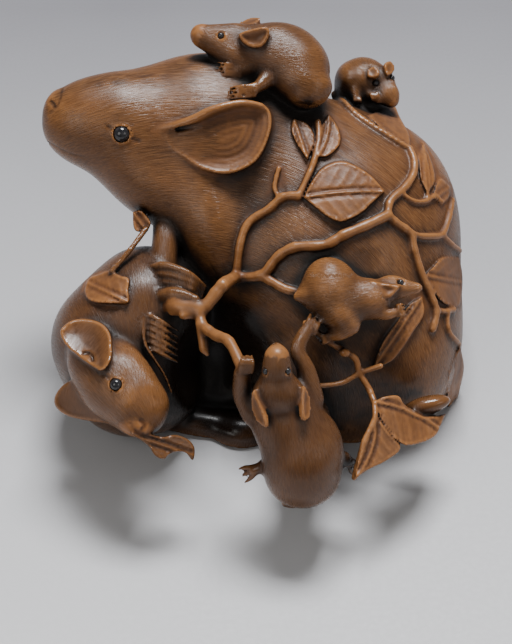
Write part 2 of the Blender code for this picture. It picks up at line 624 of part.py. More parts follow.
def cut_away(mesh, room, voxel, where):
    """The mesh with a rounded room cut out of it."""
    room_skin = fuse("room", room.mesh("room"), voxel, 2, where)
    cutter = stand("cutter", room_skin, where)
    cutter.hide_render = True
    cutter.display_type = "WIRE"
    block = stand("block", mesh, where)
    cut = block.modifiers.new("room", "BOOLEAN")
    cut.operation = "DIFFERENCE"
    cut.solver = "EXACT"
    cut.object = cutter
    made = baked(block)
    bpy.data.objects.remove(block, do_unlink=True)
    bpy.data.objects.remove(cutter, do_unlink=True)
    return made


def large_ear(skin, share, aside):
    """Middle sheet of the large ear, standing off the skin towards its tip and edges."""
    rise = 0.6 + 1.9 * share + 1.8 * (aside / 10.0) ** 2
    return skin(-27.0 + 32.0 * share, 57.5 + aside, rise)


clear_scene()
bench = collection("bench")
okimono = collection("rat_group_okimono")

masses = Clay(bench)
large_rat(masses)
large_skin = fuse("large", masses.mesh("large"), VOXEL_MASS, 24, bench)
skin = draper(large_skin)
around = rounder(large_skin)

room = Clay(bench)
hollows(room)
hollowed = cut_away(large_skin, room, VOXEL_MASS, bench)

side = Clay(bench)
side.bm.from_mesh(hollowed)
left_rat(side)
two_rats = fuse("side", side.mesh("side"), VOXEL_MASS, 4, bench)
side_skin = draper(two_rats)
room = Clay(bench)
left_room(room)
two_rats = cut_away(two_rats, room, VOXEL_MASS, bench)

whole = Clay(bench)
whole.bm.from_mesh(two_rats)
left_head(whole)
large_hands(whole)
front_rat(whole)
middle_rat(whole)
top_rats(whole)
whole.blade(lambda share, aside: large_ear(skin, share, aside), 1.0, 21, EAR, 1.0, -1.4)
floor_feet(whole)
stems(whole, skin)
leaves(whole, skin, side_skin)
hind_parts(whole, around)
fine = fuse("fine", whole.mesh("fine"), VOXEL_FINE, 2, bench)
tris = sum(len(p.vertices) - 2 for p in fine.polygons)

block = stand("block", fine, bench)
thin = block.modifiers.new("facets", "DECIMATE")
thin.ratio = FACETS / tris
faceted = largest(baked(block))
bpy.data.objects.remove(block, do_unlink=True)

wood = material("boxwood", SURFACE_WOOD, 0.45)
horn = material("dark_horn", SURFACE_HORN, 0.12)
faceted.materials.clear()
faceted.materials.append(wood)
carving = stand("carving", faceted, okimono)

piece = bmesh.new()
piece.from_mesh(faceted)
tree = BVHTree.FromBMesh(piece)
piece.free()
outer = draper(faceted)
seats = []
for label, seen, radius, far in EYES:
    middle, axes, size = HEADS[label]
    near_eye = outer(seen[0], seen[1], 0.0)
    far_eye = near_eye - axes[2] * 2.0 * (near_eye - middle).dot(axes[2])
    if far is not None:
        far_eye = at(*far)
    for which, spot in (("near", near_eye), ("far", far_eye)):
        place, out, _, _ = tree.find_nearest(spot)
        bead("eye_" + label + "_" + which, place, out, radius, okimono, horn)

floor = bmesh.new()
bmesh.ops.create_cube(floor, size=1.0)
slab = bpy.data.meshes.new("floor_cut")
floor.to_mesh(slab)
floor.free()
for v in slab.vertices:
    v.co = Vector((v.co.x * 3.0, v.co.y * 3.0, v.co.z - 0.5)) * TALL
under = stand("floor_cut", slab, bench)
under.hide_render = True
under.display_type = "WIRE"

flat = carving.modifiers.new("flat_underside", "BOOLEAN")
flat.operation = "DIFFERENCE"
flat.solver = "EXACT"
flat.object = under
for seat in seats:
    sink = carving.modifiers.new(seat.name, "BOOLEAN")
    sink.operation = "DIFFERENCE"
    sink.solver = "EXACT"
    sink.object = seat
bench.hide_render = True
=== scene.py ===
import math

import bpy
import numpy as np
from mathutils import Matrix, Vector


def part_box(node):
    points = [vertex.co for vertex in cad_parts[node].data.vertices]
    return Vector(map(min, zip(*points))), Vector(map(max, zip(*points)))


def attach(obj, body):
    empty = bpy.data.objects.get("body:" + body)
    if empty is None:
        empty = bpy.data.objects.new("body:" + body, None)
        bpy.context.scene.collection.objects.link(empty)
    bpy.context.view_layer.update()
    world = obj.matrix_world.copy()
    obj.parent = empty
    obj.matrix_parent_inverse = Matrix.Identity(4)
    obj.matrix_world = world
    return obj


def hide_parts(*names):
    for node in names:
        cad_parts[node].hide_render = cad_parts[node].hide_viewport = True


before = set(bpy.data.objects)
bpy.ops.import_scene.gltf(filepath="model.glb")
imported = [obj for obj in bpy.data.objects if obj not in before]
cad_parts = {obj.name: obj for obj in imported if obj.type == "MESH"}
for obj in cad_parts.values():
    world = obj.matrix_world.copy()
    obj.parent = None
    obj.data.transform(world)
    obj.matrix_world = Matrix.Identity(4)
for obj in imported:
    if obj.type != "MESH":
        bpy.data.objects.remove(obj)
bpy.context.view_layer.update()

MM = 0.001

# The pose is laid out as it is seen from in front and above: across, up and near, in mm.
# SIGHT is how far off the viewer is, LIFT the height looked at, SLOPE the slant of the view.
SIGHT = 500.0
LIFT = 4.0
SLOPE = math.sqrt(0.5)
NEAREST, FARTHEST = 100.0, -50.0
BODY_AXIS = (21.0, 3.0)

# Sculpting grid, the distance it starts with, how the body of the large rat is smoothed,
# and the most triangles the carving keeps
CELL = 0.5
LOW = (-66.0, -90.0, -1.5)
HIGH = (68.0, 56.0, 100.0)
FAR_OFF = 25.0
SOFTENING, SOFTENING_ROUNDS = 1.5, 3
MOST_TRIANGLES = 190000


# Places and directions

def shrink(near):
    """True length of one seen mm at this nearness."""
    return 1.0 - near / SIGHT


def at(across, up, near):
    """A point in mm from how it is seen."""
    x, u = across * shrink(near), up * shrink(near)
    return np.array([x, (u - near) * SLOPE, (u + near) * SLOPE + LIFT])


def way(d):
    """A direction in space from how it is seen."""
    x, u, n = d
    return unit([x, (u - n) * SLOPE, (u + n) * SLOPE])


def unit(v):
    """The direction of v, one long."""
    v = np.asarray(v, float)
    return v / np.linalg.norm(v)


def frame_of(long, up=(0, 1, 0)):
    """Three square directions: along, the nearest to up, and across both."""
    a, b = way(long), way(up)
    b = unit(b - a * (a @ b))
    return np.stack([a, b, np.cross(a, b)])


PLAIN = np.stack([way((1, 0, 0)), way((0, 1, 0)), way((0, 0, 1))])


def seen_at(x, y, z):
    """Across, up and near of points in mm."""
    u = (y + z - LIFT) * SLOPE
    n = (z - LIFT - y) * SLOPE
    return x / shrink(n), u / shrink(n), n


# Solid shapes as distance functions

class Shape:
    """A solid given by a distance function and the box it lies in."""

    def __init__(self, low, high, distance, part):
        self.low = np.asarray(low, float)
        self.high = np.asarray(high, float)
        self.distance = distance
        self.part = part


def egg_shape(centre, radii, axes, taper, part):
    """An egg with its radii along three axes, slimmer by its taper towards the first."""
    r = np.asarray(radii, float)
    reach = np.sqrt(((axes * (r * (1 + abs(taper)))[:, None]) ** 2).sum(0))

    def distance(x, y, z):
        p = [(x - centre[0]) * a[0] + (y - centre[1]) * a[1] + (z - centre[2]) * a[2] for a in axes]
        if taper:
            s = 1 - taper * np.clip(p[0] / r[0], -1.2, 1.2)
            p[1] = p[1] / s
            p[2] = p[2] / s
        k0 = np.sqrt(sum((p[i] / r[i]) ** 2 for i in range(3)))
        k1 = np.sqrt(sum((p[i] / r[i] ** 2) ** 2 for i in range(3)))
        return k0 * (k0 - 1) / np.maximum(k1, 1e-6)
    return Shape(centre - reach, centre + reach, distance, part)


def curve_parts(a, b, c, d, steps):
    """Points of a smooth curve from b up to c, with a and d as their neighbours."""
    return [0.5 * (2 * b + (c - a) * t + (2 * a - 5 * b + 4 * c - d) * t * t
                   + (3 * b - a - 3 * c + d) * t ** 3) for t in np.arange(steps) / steps]


def smooth_path(points, steps):
    """Points of a smooth curve through the stations; extra columns are carried along."""
    p = np.asarray(points, float)
    if len(p) < 3:
        return p
    q = np.vstack([2 * p[0] - p[1], p, 2 * p[-1] - p[-2]])
    out = []
    for i in range(1, len(q) - 2):
        out += curve_parts(q[i - 1], q[i], q[i + 1], q[i + 2], steps)
    return np.array(out + [p[-1]])


def smooth_ring(stations, steps=4):
    """A smooth closed outline through its stations."""
    p = np.asarray(stations, float)
    out = []
    for i in range(len(p)):
        out += curve_parts(p[i - 1], p[i], p[(i + 1) % len(p)], p[(i + 2) % len(p)], steps)
    return np.array(out)


def leaf_rim(base, tip, upper, lower, steps=4):
    """A leaf outline with a point at each end and a smooth edge on either side."""
    one = smooth_path([base] + upper + [tip], steps)
    two = smooth_path([tip] + lower + [base], steps)
    return np.vstack([one[:-1], two[:-1]])


def limb_shape(points, radii, part, rings=0.0, steps=5):
    """A chain of round cones; rings makes its girth swell that many times a mm."""
    p = np.asarray(points, float)
    r = np.broadcast_to(np.asarray(radii, float), (len(p),))
    path = smooth_path(np.column_stack([p, r]), steps)
    p, r = path[:, :3], path[:, 3]

    def distance(x, y, z):
        d = None
        gone = 0.0
        for a, b, ra, rb in zip(p[:-1], p[1:], r[:-1], r[1:]):
            ab = b - a
            long = np.linalg.norm(ab)
            if long < 1e-6:
                continue
            t = np.clip(((x - a[0]) * ab[0] + (y - a[1]) * ab[1] + (z - a[2]) * ab[2]) / long ** 2, 0, 1)
            girth = ra + t * (rb - ra)
            if rings:
                girth = girth * (1 + 0.10 * np.sin(2 * math.pi * rings * (gone + t * long)))
            e = np.sqrt((x - a[0] - t * ab[0]) ** 2 + (y - a[1] - t * ab[1]) ** 2
                        + (z - a[2] - t * ab[2]) ** 2) - girth
            d = e if d is None else np.minimum(d, e)
            gone += long
        return d
    w = r.max() * 1.12
    return Shape(p.min(0) - w, p.max(0) + w, distance, part)


def outline(t, fat):
    """Half width of a leaf or ear as a share, along its length."""
    e = np.clip(t, 1e-4, 1 - 1e-4)
    peak = fat / (fat + 0.62)
    return e ** fat * (1 - e) ** 0.62 / (peak ** fat * (1 - peak) ** 0.62)


def inside_by(a, u, rim):
    """How far inside a closed outline each seen place lies; less than nothing outside it."""
    best = None
    inside = np.zeros(np.broadcast(a, u).shape, bool)
    for (x0, y0), (x1, y1) in zip(rim, np.roll(rim, -1, axis=0)):
        dx, dy = x1 - x0, y1 - y0
        t = np.clip(((a - x0) * dx + (u - y0) * dy) / max(dx * dx + dy * dy, 1e-9), 0, 1)
        d = (a - x0 - t * dx) ** 2 + (u - y0 - t * dy) ** 2
        best = d if best is None else np.minimum(best, d)
        if abs(dy) > 1e-9:
            inside ^= ((y0 > u) != (y1 > u)) & (a < x0 + (u - y0) * dx / dy)
    return np.sqrt(best) * np.where(inside, 1.0, -1.0)


def leaf_relief(base, tip, bend):
    """Height over a leaf: a midrib with slanting side veins, swelling between them, and a rim."""
    depth, pitch = 0.55, 3.6
    base, tip = np.asarray(base, float), np.asarray(tip, float)
    long = np.linalg.norm(tip - base)
    ax = (tip - base) / long
    sd = np.array([-ax[1], ax[0]])

    def relief(a, u, e):
        along = (a - base[0]) * ax[0] + (u - base[1]) * ax[1]
        t = np.clip(along / long, 0, 1)
        w = np.abs((a - base[0]) * sd[0] + (u - base[1]) * sd[1] - bend * 4 * t * (1 - t))
        rib = np.exp(-(w / 0.45) ** 2) - 0.9 * np.exp(-((w - 0.95) / 0.45) ** 2)
        slant = (along - 0.9 * w + 0.02 * w * w) / pitch
        vein = np.exp(-(((slant + 0.5) % 1.0 - 0.5) * pitch / 0.33) ** 2) * np.clip(w - 0.4, 0, 1)
        swell = np.clip(1 - np.abs((slant % 1.0) - 0.5) * 2, 0, 1) * np.clip(w / 2, 0, 1)
        swell = swell * np.clip(e / 2, 0, 1)
        edge = 0.9 * np.clip(1 - np.abs(e - 0.35) / 0.5, 0, 1)
        return depth * (0.9 * rib + 0.45 * vein + 0.7 * swell + edge)
    return relief


def dish_relief(rim=0.6, hollow=0.8, folds=0.0, pitch=2.2):
    """Height over an ear: a thin raised rim round a hollow, with folds that follow the rim."""
    def relief(a, u, e):
        edge = rim * np.clip(1 - np.abs(e - 0.45) / 0.75, 0, 1)
        dip = -hollow * np.clip((e - 0.8) / 3.5, 0, 1)
        wave = folds * np.cos(2 * math.pi * e / pitch) * np.clip((e - 1.2) / 1.0, 0, 1)
        return edge + dip + wave
    return relief


def patch_shape(rim, sheet, thick, part, relief, under):
    """A leaf or ear: a sheet inside a closed outline of seen points, thick above it and under below it."""
    rim = np.asarray(rim, float)
    corners = [at(a, u, n) for a in (rim[:, 0].min() - 1, rim[:, 0].max() + 1)
               for u in (rim[:, 1].min() - 1, rim[:, 1].max() + 1)
               for n in (sheet(a, u) - under - 2, sheet(a, u) + thick + 2)]
    corners += [at(a, u, sheet(a, u) + q) for a, u in rim for q in (-under - 1, thick + 1)]

    def distance(x, y, z):
        a, u, n = np.broadcast_arrays(*seen_at(x, y, z))
        near_it = (a > rim[:, 0].min() - 2) & (a < rim[:, 0].max() + 2) & (u > rim[:, 1].min() - 2)
        near_it &= (u < rim[:, 1].max() + 2)
        out = np.full(a.shape, 6.0)
        if not near_it.any():
            return out
        a, u, n = a[near_it], u[near_it], n[near_it]
        e = inside_by(a, u, rim)
        middle = sheet(a, u)
        top = thick + relief(a, u, e)
        out[near_it] = np.maximum(-e * shrink(n), np.maximum(n - middle - top, middle - n - under))
        return out
    return Shape(np.min(corners, 0), np.max(corners, 0), distance, part)


def ear_shape(root, tip, face, wide, part, rim, thick, fat=1.1, under=1.0, bend=0.0):
    """A dished ear from root to tip, opening towards face."""
    long = np.linalg.norm(tip - root)
    ax = (tip - root) / long
    out = unit(np.asarray(face) - ax * (np.asarray(face) @ ax))
    sd = np.cross(out, ax)
    reach = wide / 2 + abs(bend) + 1.5
    corners = [root + sd * q * reach + out * h + ax * e for q in (-1, 1)
               for h in (-under - thick - 1, rim + thick + 1) for e in (-1, long + 1)]

    def distance(x, y, z):
        p = (x - root[0], y - root[1], z - root[2])
        t = (p[0] * ax[0] + p[1] * ax[1] + p[2] * ax[2]) / long
        w = p[0] * sd[0] + p[1] * sd[1] + p[2] * sd[2]
        h = p[0] * out[0] + p[1] * out[1] + p[2] * out[2]
        tc = np.clip(t, 0, 1)
        w = w - bend * 4 * tc * (1 - tc)
        half = wide / 2 * outline(tc, fat)
        flat = np.maximum(np.abs(w) - half, np.maximum(-t, t - 1) * long)
        side = np.clip(np.abs(w) / np.maximum(half, 0.3), 0, 1)
        outward = np.sqrt(np.clip((tc - 0.60) / 0.42, -1.4, 1) ** 2 + side ** 2)
        top = rim * np.clip(outward, 0, 1.1) ** 3
        return np.maximum(flat, np.maximum(h - top - thick, -h - under * (1.4 - tc)))
    return Shape(np.min(corners, 0), np.max(corners, 0), distance, part)


def ring_shape(centre, axis, radius, thick, part):
    """A thin round lid about an eye."""
    def distance(x, y, z):
        p = (x - centre[0], y - centre[1], z - centre[2])
        h = p[0] * axis[0] + p[1] * axis[1] + p[2] * axis[2]
        q = np.sqrt(np.maximum(p[0] ** 2 + p[1] ** 2 + p[2] ** 2 - h * h, 0))
        return np.sqrt((q - radius) ** 2 + h * h) - thick
    w = radius + thick
    return Shape(centre - w, centre + w, distance, part)


def blend_min(a, b, k):
    """The smaller of two distances, with a fillet of about k mm where they meet."""
    if k <= 0:
        return np.minimum(a, b)
    h = np.maximum(k - np.abs(a - b), 0) / k
    return np.minimum(a, b) - h * h * (k * 0.25)


# The sculpting grid

class Block:
    """A grid of distances that shapes are added to and cut from."""

    def __init__(self, low, high, cell):
        self.low = np.asarray(low, float)
        self.cell = cell
        self.axes = [np.arange(low[i], high[i] + cell / 2, cell).astype(np.float32) for i in range(3)]
        self.size = tuple(len(a) for a in self.axes)
        self.field = np.full(self.size, FAR_OFF, np.float32)
        self.shapes = []

    def window(self, shape, pad):
        out = []
        for i in range(3):
            first = int((shape.low[i] - pad - self.low[i]) // self.cell)
            last = int((shape.high[i] + pad - self.low[i]) // self.cell) + 2
            out.append(slice(max(first, 0), max(min(last, self.size[i]), 0)))
        return tuple(out)

    def points(self, w):
        return (self.axes[0][w[0]][:, None, None], self.axes[1][w[1]][None, :, None],
                self.axes[2][w[2]][None, None, :])

    def add(self, shape, k=0.0, pad=0.0):
        w = self.window(shape, k + 1.5 + pad)
        d = shape.distance(*self.points(w)).astype(np.float32)
        self.field[w] = blend_min(self.field[w], d, k)
        self.shapes.append(shape)

    def cut(self, shape, k=0.0):
        w = self.window(shape, k + 1.5)
        d = shape.distance(*self.points(w)).astype(np.float32)
        self.field[w] = -blend_min(-self.field[w], d, k)

    def read(self, field, p):
        """Values of a grid at points in mm."""
        q = (np.asarray(p, float) - self.low) / self.cell
        i = np.floor(q).astype(int)
        for k in range(3):
            i[..., k] = np.clip(i[..., k], 0, self.size[k] - 2)
        t = np.clip(q - i, 0, 1)
        out = 0.0
        for a in (0, 1):
            for b in (0, 1):
                for c in (0, 1):
                    w = ((t[..., 0] if a else 1 - t[..., 0]) * (t[..., 1] if b else 1 - t[..., 1])
                         * (t[..., 2] if c else 1 - t[..., 2]))
                    out = out + w * field[i[..., 0] + a, i[..., 1] + b, i[..., 2] + c]
        return out


def meet(block, field, start, aim, length, step=0.8):
    """Distance along each sight line to the first surface."""
    n = len(start)
    gone = np.zeros(n)
    out = np.full(n, np.nan)
    before, moved = np.full(n, FAR_OFF), np.zeros(n)
    live = np.arange(n)
    while len(live):
        d = block.read(field, start[live] + aim[live] * gone[live][:, None])
        inside = d < 0.02
        k = live[inside]
        drop = np.maximum(np.minimum(before[k], 3) - d[inside], 1e-3)
        out[k] = gone[k] - moved[k] * np.clip(-d[inside], 0, None) / drop
        live, d = live[~inside], d[~inside]
        m = np.clip(d * 0.85, 0.06, step)
        before[live], moved[live] = d, m
        gone[live] += m
        live = live[gone[live] < length]
    return out


def seen_surface(block, field):
    """near(across, up, lift): how near the surface is on each sight line."""
    def near(across, up, lift=0.0, far=15.0):
        a, u = np.broadcast_arrays(np.asarray(across, float), np.asarray(up, float))
        flat_a, flat_u = a.ravel(), u.ravel()
        start = np.array([at(x, y, NEAREST) for x, y in zip(flat_a, flat_u)])
        end = np.array([at(x, y, FARTHEST) for x, y in zip(flat_a, flat_u)])
        length = NEAREST - FARTHEST
        gone = meet(block, field, start, (end - start) / length, length)
        n = np.where(np.isfinite(gone), NEAREST - gone, far) + lift
        return n.reshape(a.shape)
    return near


def sheet_through(across, up, near):
    """A smooth bent sheet through sampled points: near as a function of across and up."""
    a, u, n = [np.asarray(v, float).ravel() for v in (across, up, near)]
    known = np.isfinite(n)
    a, u, n = a[known], u[known], n[known]
    a0, u0 = a.mean(), u.mean()
    reach = max(np.ptp(a), np.ptp(u)) / 2

    def terms(x, y):
        x, y = (x - a0) / reach, (y - u0) / reach
        return [np.ones_like(x), x, y, x ** 2, x * y, y ** 2]
    m = np.stack(terms(a, u), -1)
    calm = np.diag([0, 0.05, 0.05, 0.4, 0.4, 0.4])
    c = np.linalg.solve(m.T @ m + calm, m.T @ n)
    return lambda x, y: sum(k * t for k, t in zip(c, terms(np.asarray(x, float), np.asarray(y, float))))


# The carver's hand

class Carver:
    """Adds shapes to the block as one part. Places are seen ones (across, up, near) and k is a fillet in mm."""

    def __init__(self, block, part):
        self.block = block
        self.part = part

    def of(self, part):
        """The same hand at work on another part."""
        return Carver(self.block, part)

    def egg(self, c, radii, axes=PLAIN, k=3.0, taper=0.0, pad=0.0):
        self.block.add(egg_shape(at(*c), np.array(radii) * shrink(c[2]), axes, taper, self.part), k, pad)

    def pit(self, c, radii, axes=PLAIN, k=1.5):
        self.block.cut(egg_shape(at(*c), np.array(radii) * shrink(c[2]), axes, 0.0, "pit"), k)

    def limb(self, points, radii, k=1.5):
        girth = np.array(radii) * shrink(points[0][2])
        self.block.add(limb_shape([at(*p) for p in points], girth, self.part), k)

    def patch(self, rim, sheet, thick, relief, under, k):
        self.block.add(patch_shape(rim, sheet, thick, self.part, relief, under), k)

    def groove(self, points, radii, k=0.4):
        girth = np.array(radii) * shrink(points[0][2])
        self.block.cut(limb_shape([at(*p) for p in points], girth, "groove"), k)

    def near_now(self):
        """Nearness of the surface as it stands now."""
        return seen_surface(self.block, self.block.field.copy())

    def line(self, near, stations, girth):
        """A fine groove drawn on the surface through seen stations."""
        path = smooth_path(stations, 3)
        depth = near(path[:, 0], path[:, 1], 0.1)
        points = [at(a, u, n) for (a, u), n in zip(path, depth)]
        self.block.cut(limb_shape(points, girth, "groove", steps=1), 0.25)

    def ear(self, root, tip, face, wide, **more):
        self.block.add(ear_shape(at(*root), at(*tip), way(face), wide * shrink(root[2]), "ear", **more), 0.5)

    def head(self, c, fwd, up, long, wide, deep, k):
        """Skull, snout and nose; gives back where a share of the head's length lies, and that length."""
        axes = frame_of(fwd, up)
        size = long * shrink(c[2])
        middle = at(*c)

        def spot(x, y, z):
            return middle + (axes[0] * x + axes[1] * y + axes[2] * z) * size
        for place, radii, taper, fillet in (((0, 0, 0), (0.34, 0.25 * deep, 0.24 * wide), 0, k),
                                            ((0.30, -0.03, 0), (0.30, 0.165 * deep, 0.16 * wide), 0.28, k),
                                            ((0.50, -0.035, 0), (0.13, 0.10, 0.10 * wide), 0, k * 0.6)):
            self.block.add(egg_shape(spot(*place), np.array(radii) * size, axes, taper, self.part), fillet)
        return spot, size

    def muzzle(self, spot, size):
        """Nostrils and mouth."""
        reach, low, half = 0.60, -0.035, 0.05
        for z in (-1, 1):
            a = spot(reach + 0.015, low + 0.02, half * 0.6 * z)
            b = spot(reach - 0.02, low + 0.03, half * 1.3 * z)
            self.block.cut(limb_shape([a, b], size * 0.018, "groove"), size * 0.01)
            mouth = [spot(reach + 0.02, low - 0.065, 0), spot(reach - 0.06, low - 0.075, half * 1.7 * z),
                     spot(reach - 0.20, low - 0.07, half * 3.0 * z)]
            self.block.cut(limb_shape(mouth, size * 0.012, "groove"), size * 0.01)


def large_body(c):
    """Trunk, shoulder, haunch and chest of the large rat, smoothed into one another later."""
    c.egg((20.5, 17, 14), (40.6, 48.5, 42.5), k=0, pad=8)
    for middle, radii, k in (((37.5, 32, 14), (21.6, 26.4, 28), 6), ((41, -4, 20), (20.6, 27.6, 29), 6),
                             ((-9, -13, 11), (23, 21, 17), 6), ((26, -16, 18), (24.7, 22.7, 22.7), 6),
                             ((8, 42, 24), (27.4, 27.4, 25.2), 6), ((3, 20, 30), (15, 23, 19), 5)):
        c.egg(middle, radii, k=k, pad=6)


def large_head(c):
    """Skull, throat, jaw, brow and snout of the large rat."""
    sight = frame_of((-1, 0.12, 0.16), (0, 1, 0.1))
    for middle, radii, axes, k in (((-14, 54.5, 30), (29, 26, 23.4), sight, 6),
                                   ((-13, 32, 34), (26, 14.4, 18.8), frame_of((-0.45, 1, 0), (1, 0, 0)), 5),
                                   ((-31.5, 44, 36), (22, 12.3, 15), frame_of((-0.75, 0.6, 0), (1, 0, 0)), 5),
                                   ((-37, 58.8, 36), (23, 16.4, 17), sight, 5),
                                   ((-29, 66.5, 31), (16, 8.5, 11), frame_of((1, 0.22, 0)), 5),
                                   ((-51.2, 59.4, 39), (13.2, 12.2, 12.4), sight, 4)):
        c.egg(middle, radii, axes, k, pad=6)


def large_face(c):
    """Nose pad, nostril, mouth line and eye corners of the large rat."""
    c.of("nose").egg((-60.2, 65, 40), (2.6, 4.4, 5.5), frame_of((-1, 0.4, 0), (0.4, 1, 0)), 2.0)
    near = c.near_now()
    c.line(near, [(-61.9, 66.2), (-61, 65.6), (-60.6, 64.6)], 0.55)
    c.line(near, [(-58.0, 70.2), (-58.7, 67.4), (-60.0, 64.2), (-61.8, 62.8)], 0.3)
    c.line(near, [(-44.6, 58.8), (-43.4, 58.0), (-42.2, 57.6)], 0.42)
    c.line(near, [(-38.4, 55.6), (-36.8, 54.9), (-35, 54.2)], 0.42)
    c.line(near, [(-63, 54.5), (-60, 52.6), (-56, 50.6), (-51.5, 49.4)], 0.30)


def hollows(c):
    """Room between the large rat and its young, and under the stems."""
    c.pit((-13, -14, 56), (17, 17, 28), k=4)
    c.pit((0, -3, 60), (13, 9, 16), frame_of((1, -0.15, 0)), 4)
    c.pit((9, 14.6, 68), (8.6, 5.6, 13), frame_of((1, 0.3, 0)), 3)
    c.pit((22, -13, 64), (10, 8, 12), k=3)
    c.pit((27, -27, 58), (8, 11, 12), k=3)
    c.pit((35, 20, 62), (9, 5, 9), frame_of((1, 0.1, 0)), 3)


def left_rat(c):
    """Back, shoulder and chest of the rat at the left."""
    c.egg((-40.5, -6, 36), (20.8, 20.3, 24), k=2)
    c.egg((-33, 3, 36), (18.3, 19.8, 23), k=5)
    c.egg((-36, -18, 32), (19.5, 16.5, 20.5), k=5)


def left_room(c):
    """The dark room between the left rat and the branch."""
    c.pit((-12, -17, 54), (12, 19, 32), k=2)


def left_head(c):
    """Its bowed head, with the lips, nostril and eye corner cut in."""
    fwd, up = (0.50, -0.78, 0.32), (-0.52, 0.05, 0.72)
    c.head((-46.5, -13.5, 56), fwd, up, 36, 1.1, 1.05, 3)
    axes = frame_of(fwd, up)
    c.egg((-42, -18, 60), (12, 10, 11.5), axes, 3)
    c.egg((-37, -23, 63), (10.5, 8.6, 9.5), axes, 3)
    c.egg((-34, -26, 63), (8, 7.5, 8.5), axes, 2)
    c.egg((-36.2, -24.2, 65), (2.4, 6.0, 6.5), frame_of((0.7, -0.6, 0.3), (0.6, 0.7, 0)), 3)
    c.of("nose").egg((-35.8, -31.2, 67), (4.6, 3.2, 3.6), frame_of((1, -0.3, 0)), 2)
    c.pit((-19.6, -33, 66), (7, 9, 8), k=3)
    near = c.near_now()
    c.line(near, [(-34.5, -29.5), (-33.4, -31.2), (-34.2, -32.4)], 0.6)
    c.line(near, [(-37.8, -30.4), (-36.6, -32.2), (-33.4, -33.8), (-30, -33.2)], 0.4)
    c.line(near, [(-43.7, -17.4), (-44.8, -16.3), (-46.4, -15.6)], 0.35)


def left_ears(c):
    """The upper ear with the fold in its hollow, and the lower ear by the floor."""
    upper = smooth_ring([(-58.8, -3.2), (-57.2, -0.8), (-54.4, 0.7), (-50.3, 0.8), (-46.3, -0.5),
                         (-43.8, -3.5), (-43.3, -8), (-43.8, -12), (-46.3, -14.6), (-49.5, -13),
                         (-53.3, -10.3), (-57, -7)])
    sheet = sheet_through([-58, -50, -44, -44, -48, -51], [-3, 0, -4, -11, -14, -6],
                          [61.5, 60, 63.5, 68.5, 68, 62.8])
    c.patch(upper, sheet, 0.8, dish_relief(0.35, 0.6), 5.0, 0.8)
    fold = [(-52, -9.8), (-50.6, -9.3), (-49.2, -10.2), (-48.8, -11.8)]
    c.groove([(x, y, float(sheet(x, y)) + 0.2) for x, y in fold], [0.3, 0.45, 0.45, 0.3])
    lower = smooth_ring([(-54, -17.4), (-57.8, -18.8), (-60.4, -22.4), (-60, -25.6), (-56.5, -28.2),
                         (-51, -29.5), (-45, -30.4), (-41.5, -31.5), (-44, -26), (-49, -21)])
    low_sheet = sheet_through([-54, -60, -56, -47, -49, -52], [-19, -24, -28.5, -29, -23, -25],
                              [55, 50, 50, 54, 59, 55])
    c.patch(lower, low_sheet, 0.8, dish_relief(0.4, 0.5), 4.0, 1.2)


def large_hands(c):
    """The arms of the large rat, with the fingers of either hand as rows of ridges."""
    c.limb([(-26, 34, 38), (-27, 26, 43), (-28, 16, 47)], [5, 4, 4])
    for i in range(5):
        t = i / 4
        c.limb([(-32 + 1.5 * t, 15.8 - 2.2 * i, 50), (-27.5 + t, 17 - 2.5 * i, 54.5),
                (-20.5 - 0.5 * t, 14.6 - 2.1 * i, 56.5), (-15.5 - 2 * t, 10.6 - 1.5 * i, 53)],
               [1.3, 1.25, 1.1, 0.8], 0.8)
    c.limb([(-29.5, 7.5, 54), (-24, 8.6, 58), (-18, 7, 60)], [2.2, 2.0, 1.1], 0.5)
    c.limb([(-27, 8, 46), (-34, 3, 50), (-33.5, -5, 52)], [5, 4.2, 4])
    for i in range(6):
        c.limb([(-34, 2.4 - 1.9 * i, 55), (-31, 1.6 - 1.95 * i, 57.8), (-27, -0.6 - 1.95 * i, 57.9),
                (-23.4, -2.6 - 1.9 * i, 54.5)], [0.8, 0.78, 0.66, 0.35], 0.7)
    c.limb([(-33.8, 1, 57.5), (-33.4, -6, 58.4), (-30.8, -10.8, 58.6), (-27.5, -16, 57), (-25.3, -21.5, 56)],
           [0.6, 0.6, 0.55, 0.5, 0.45], 0.3)


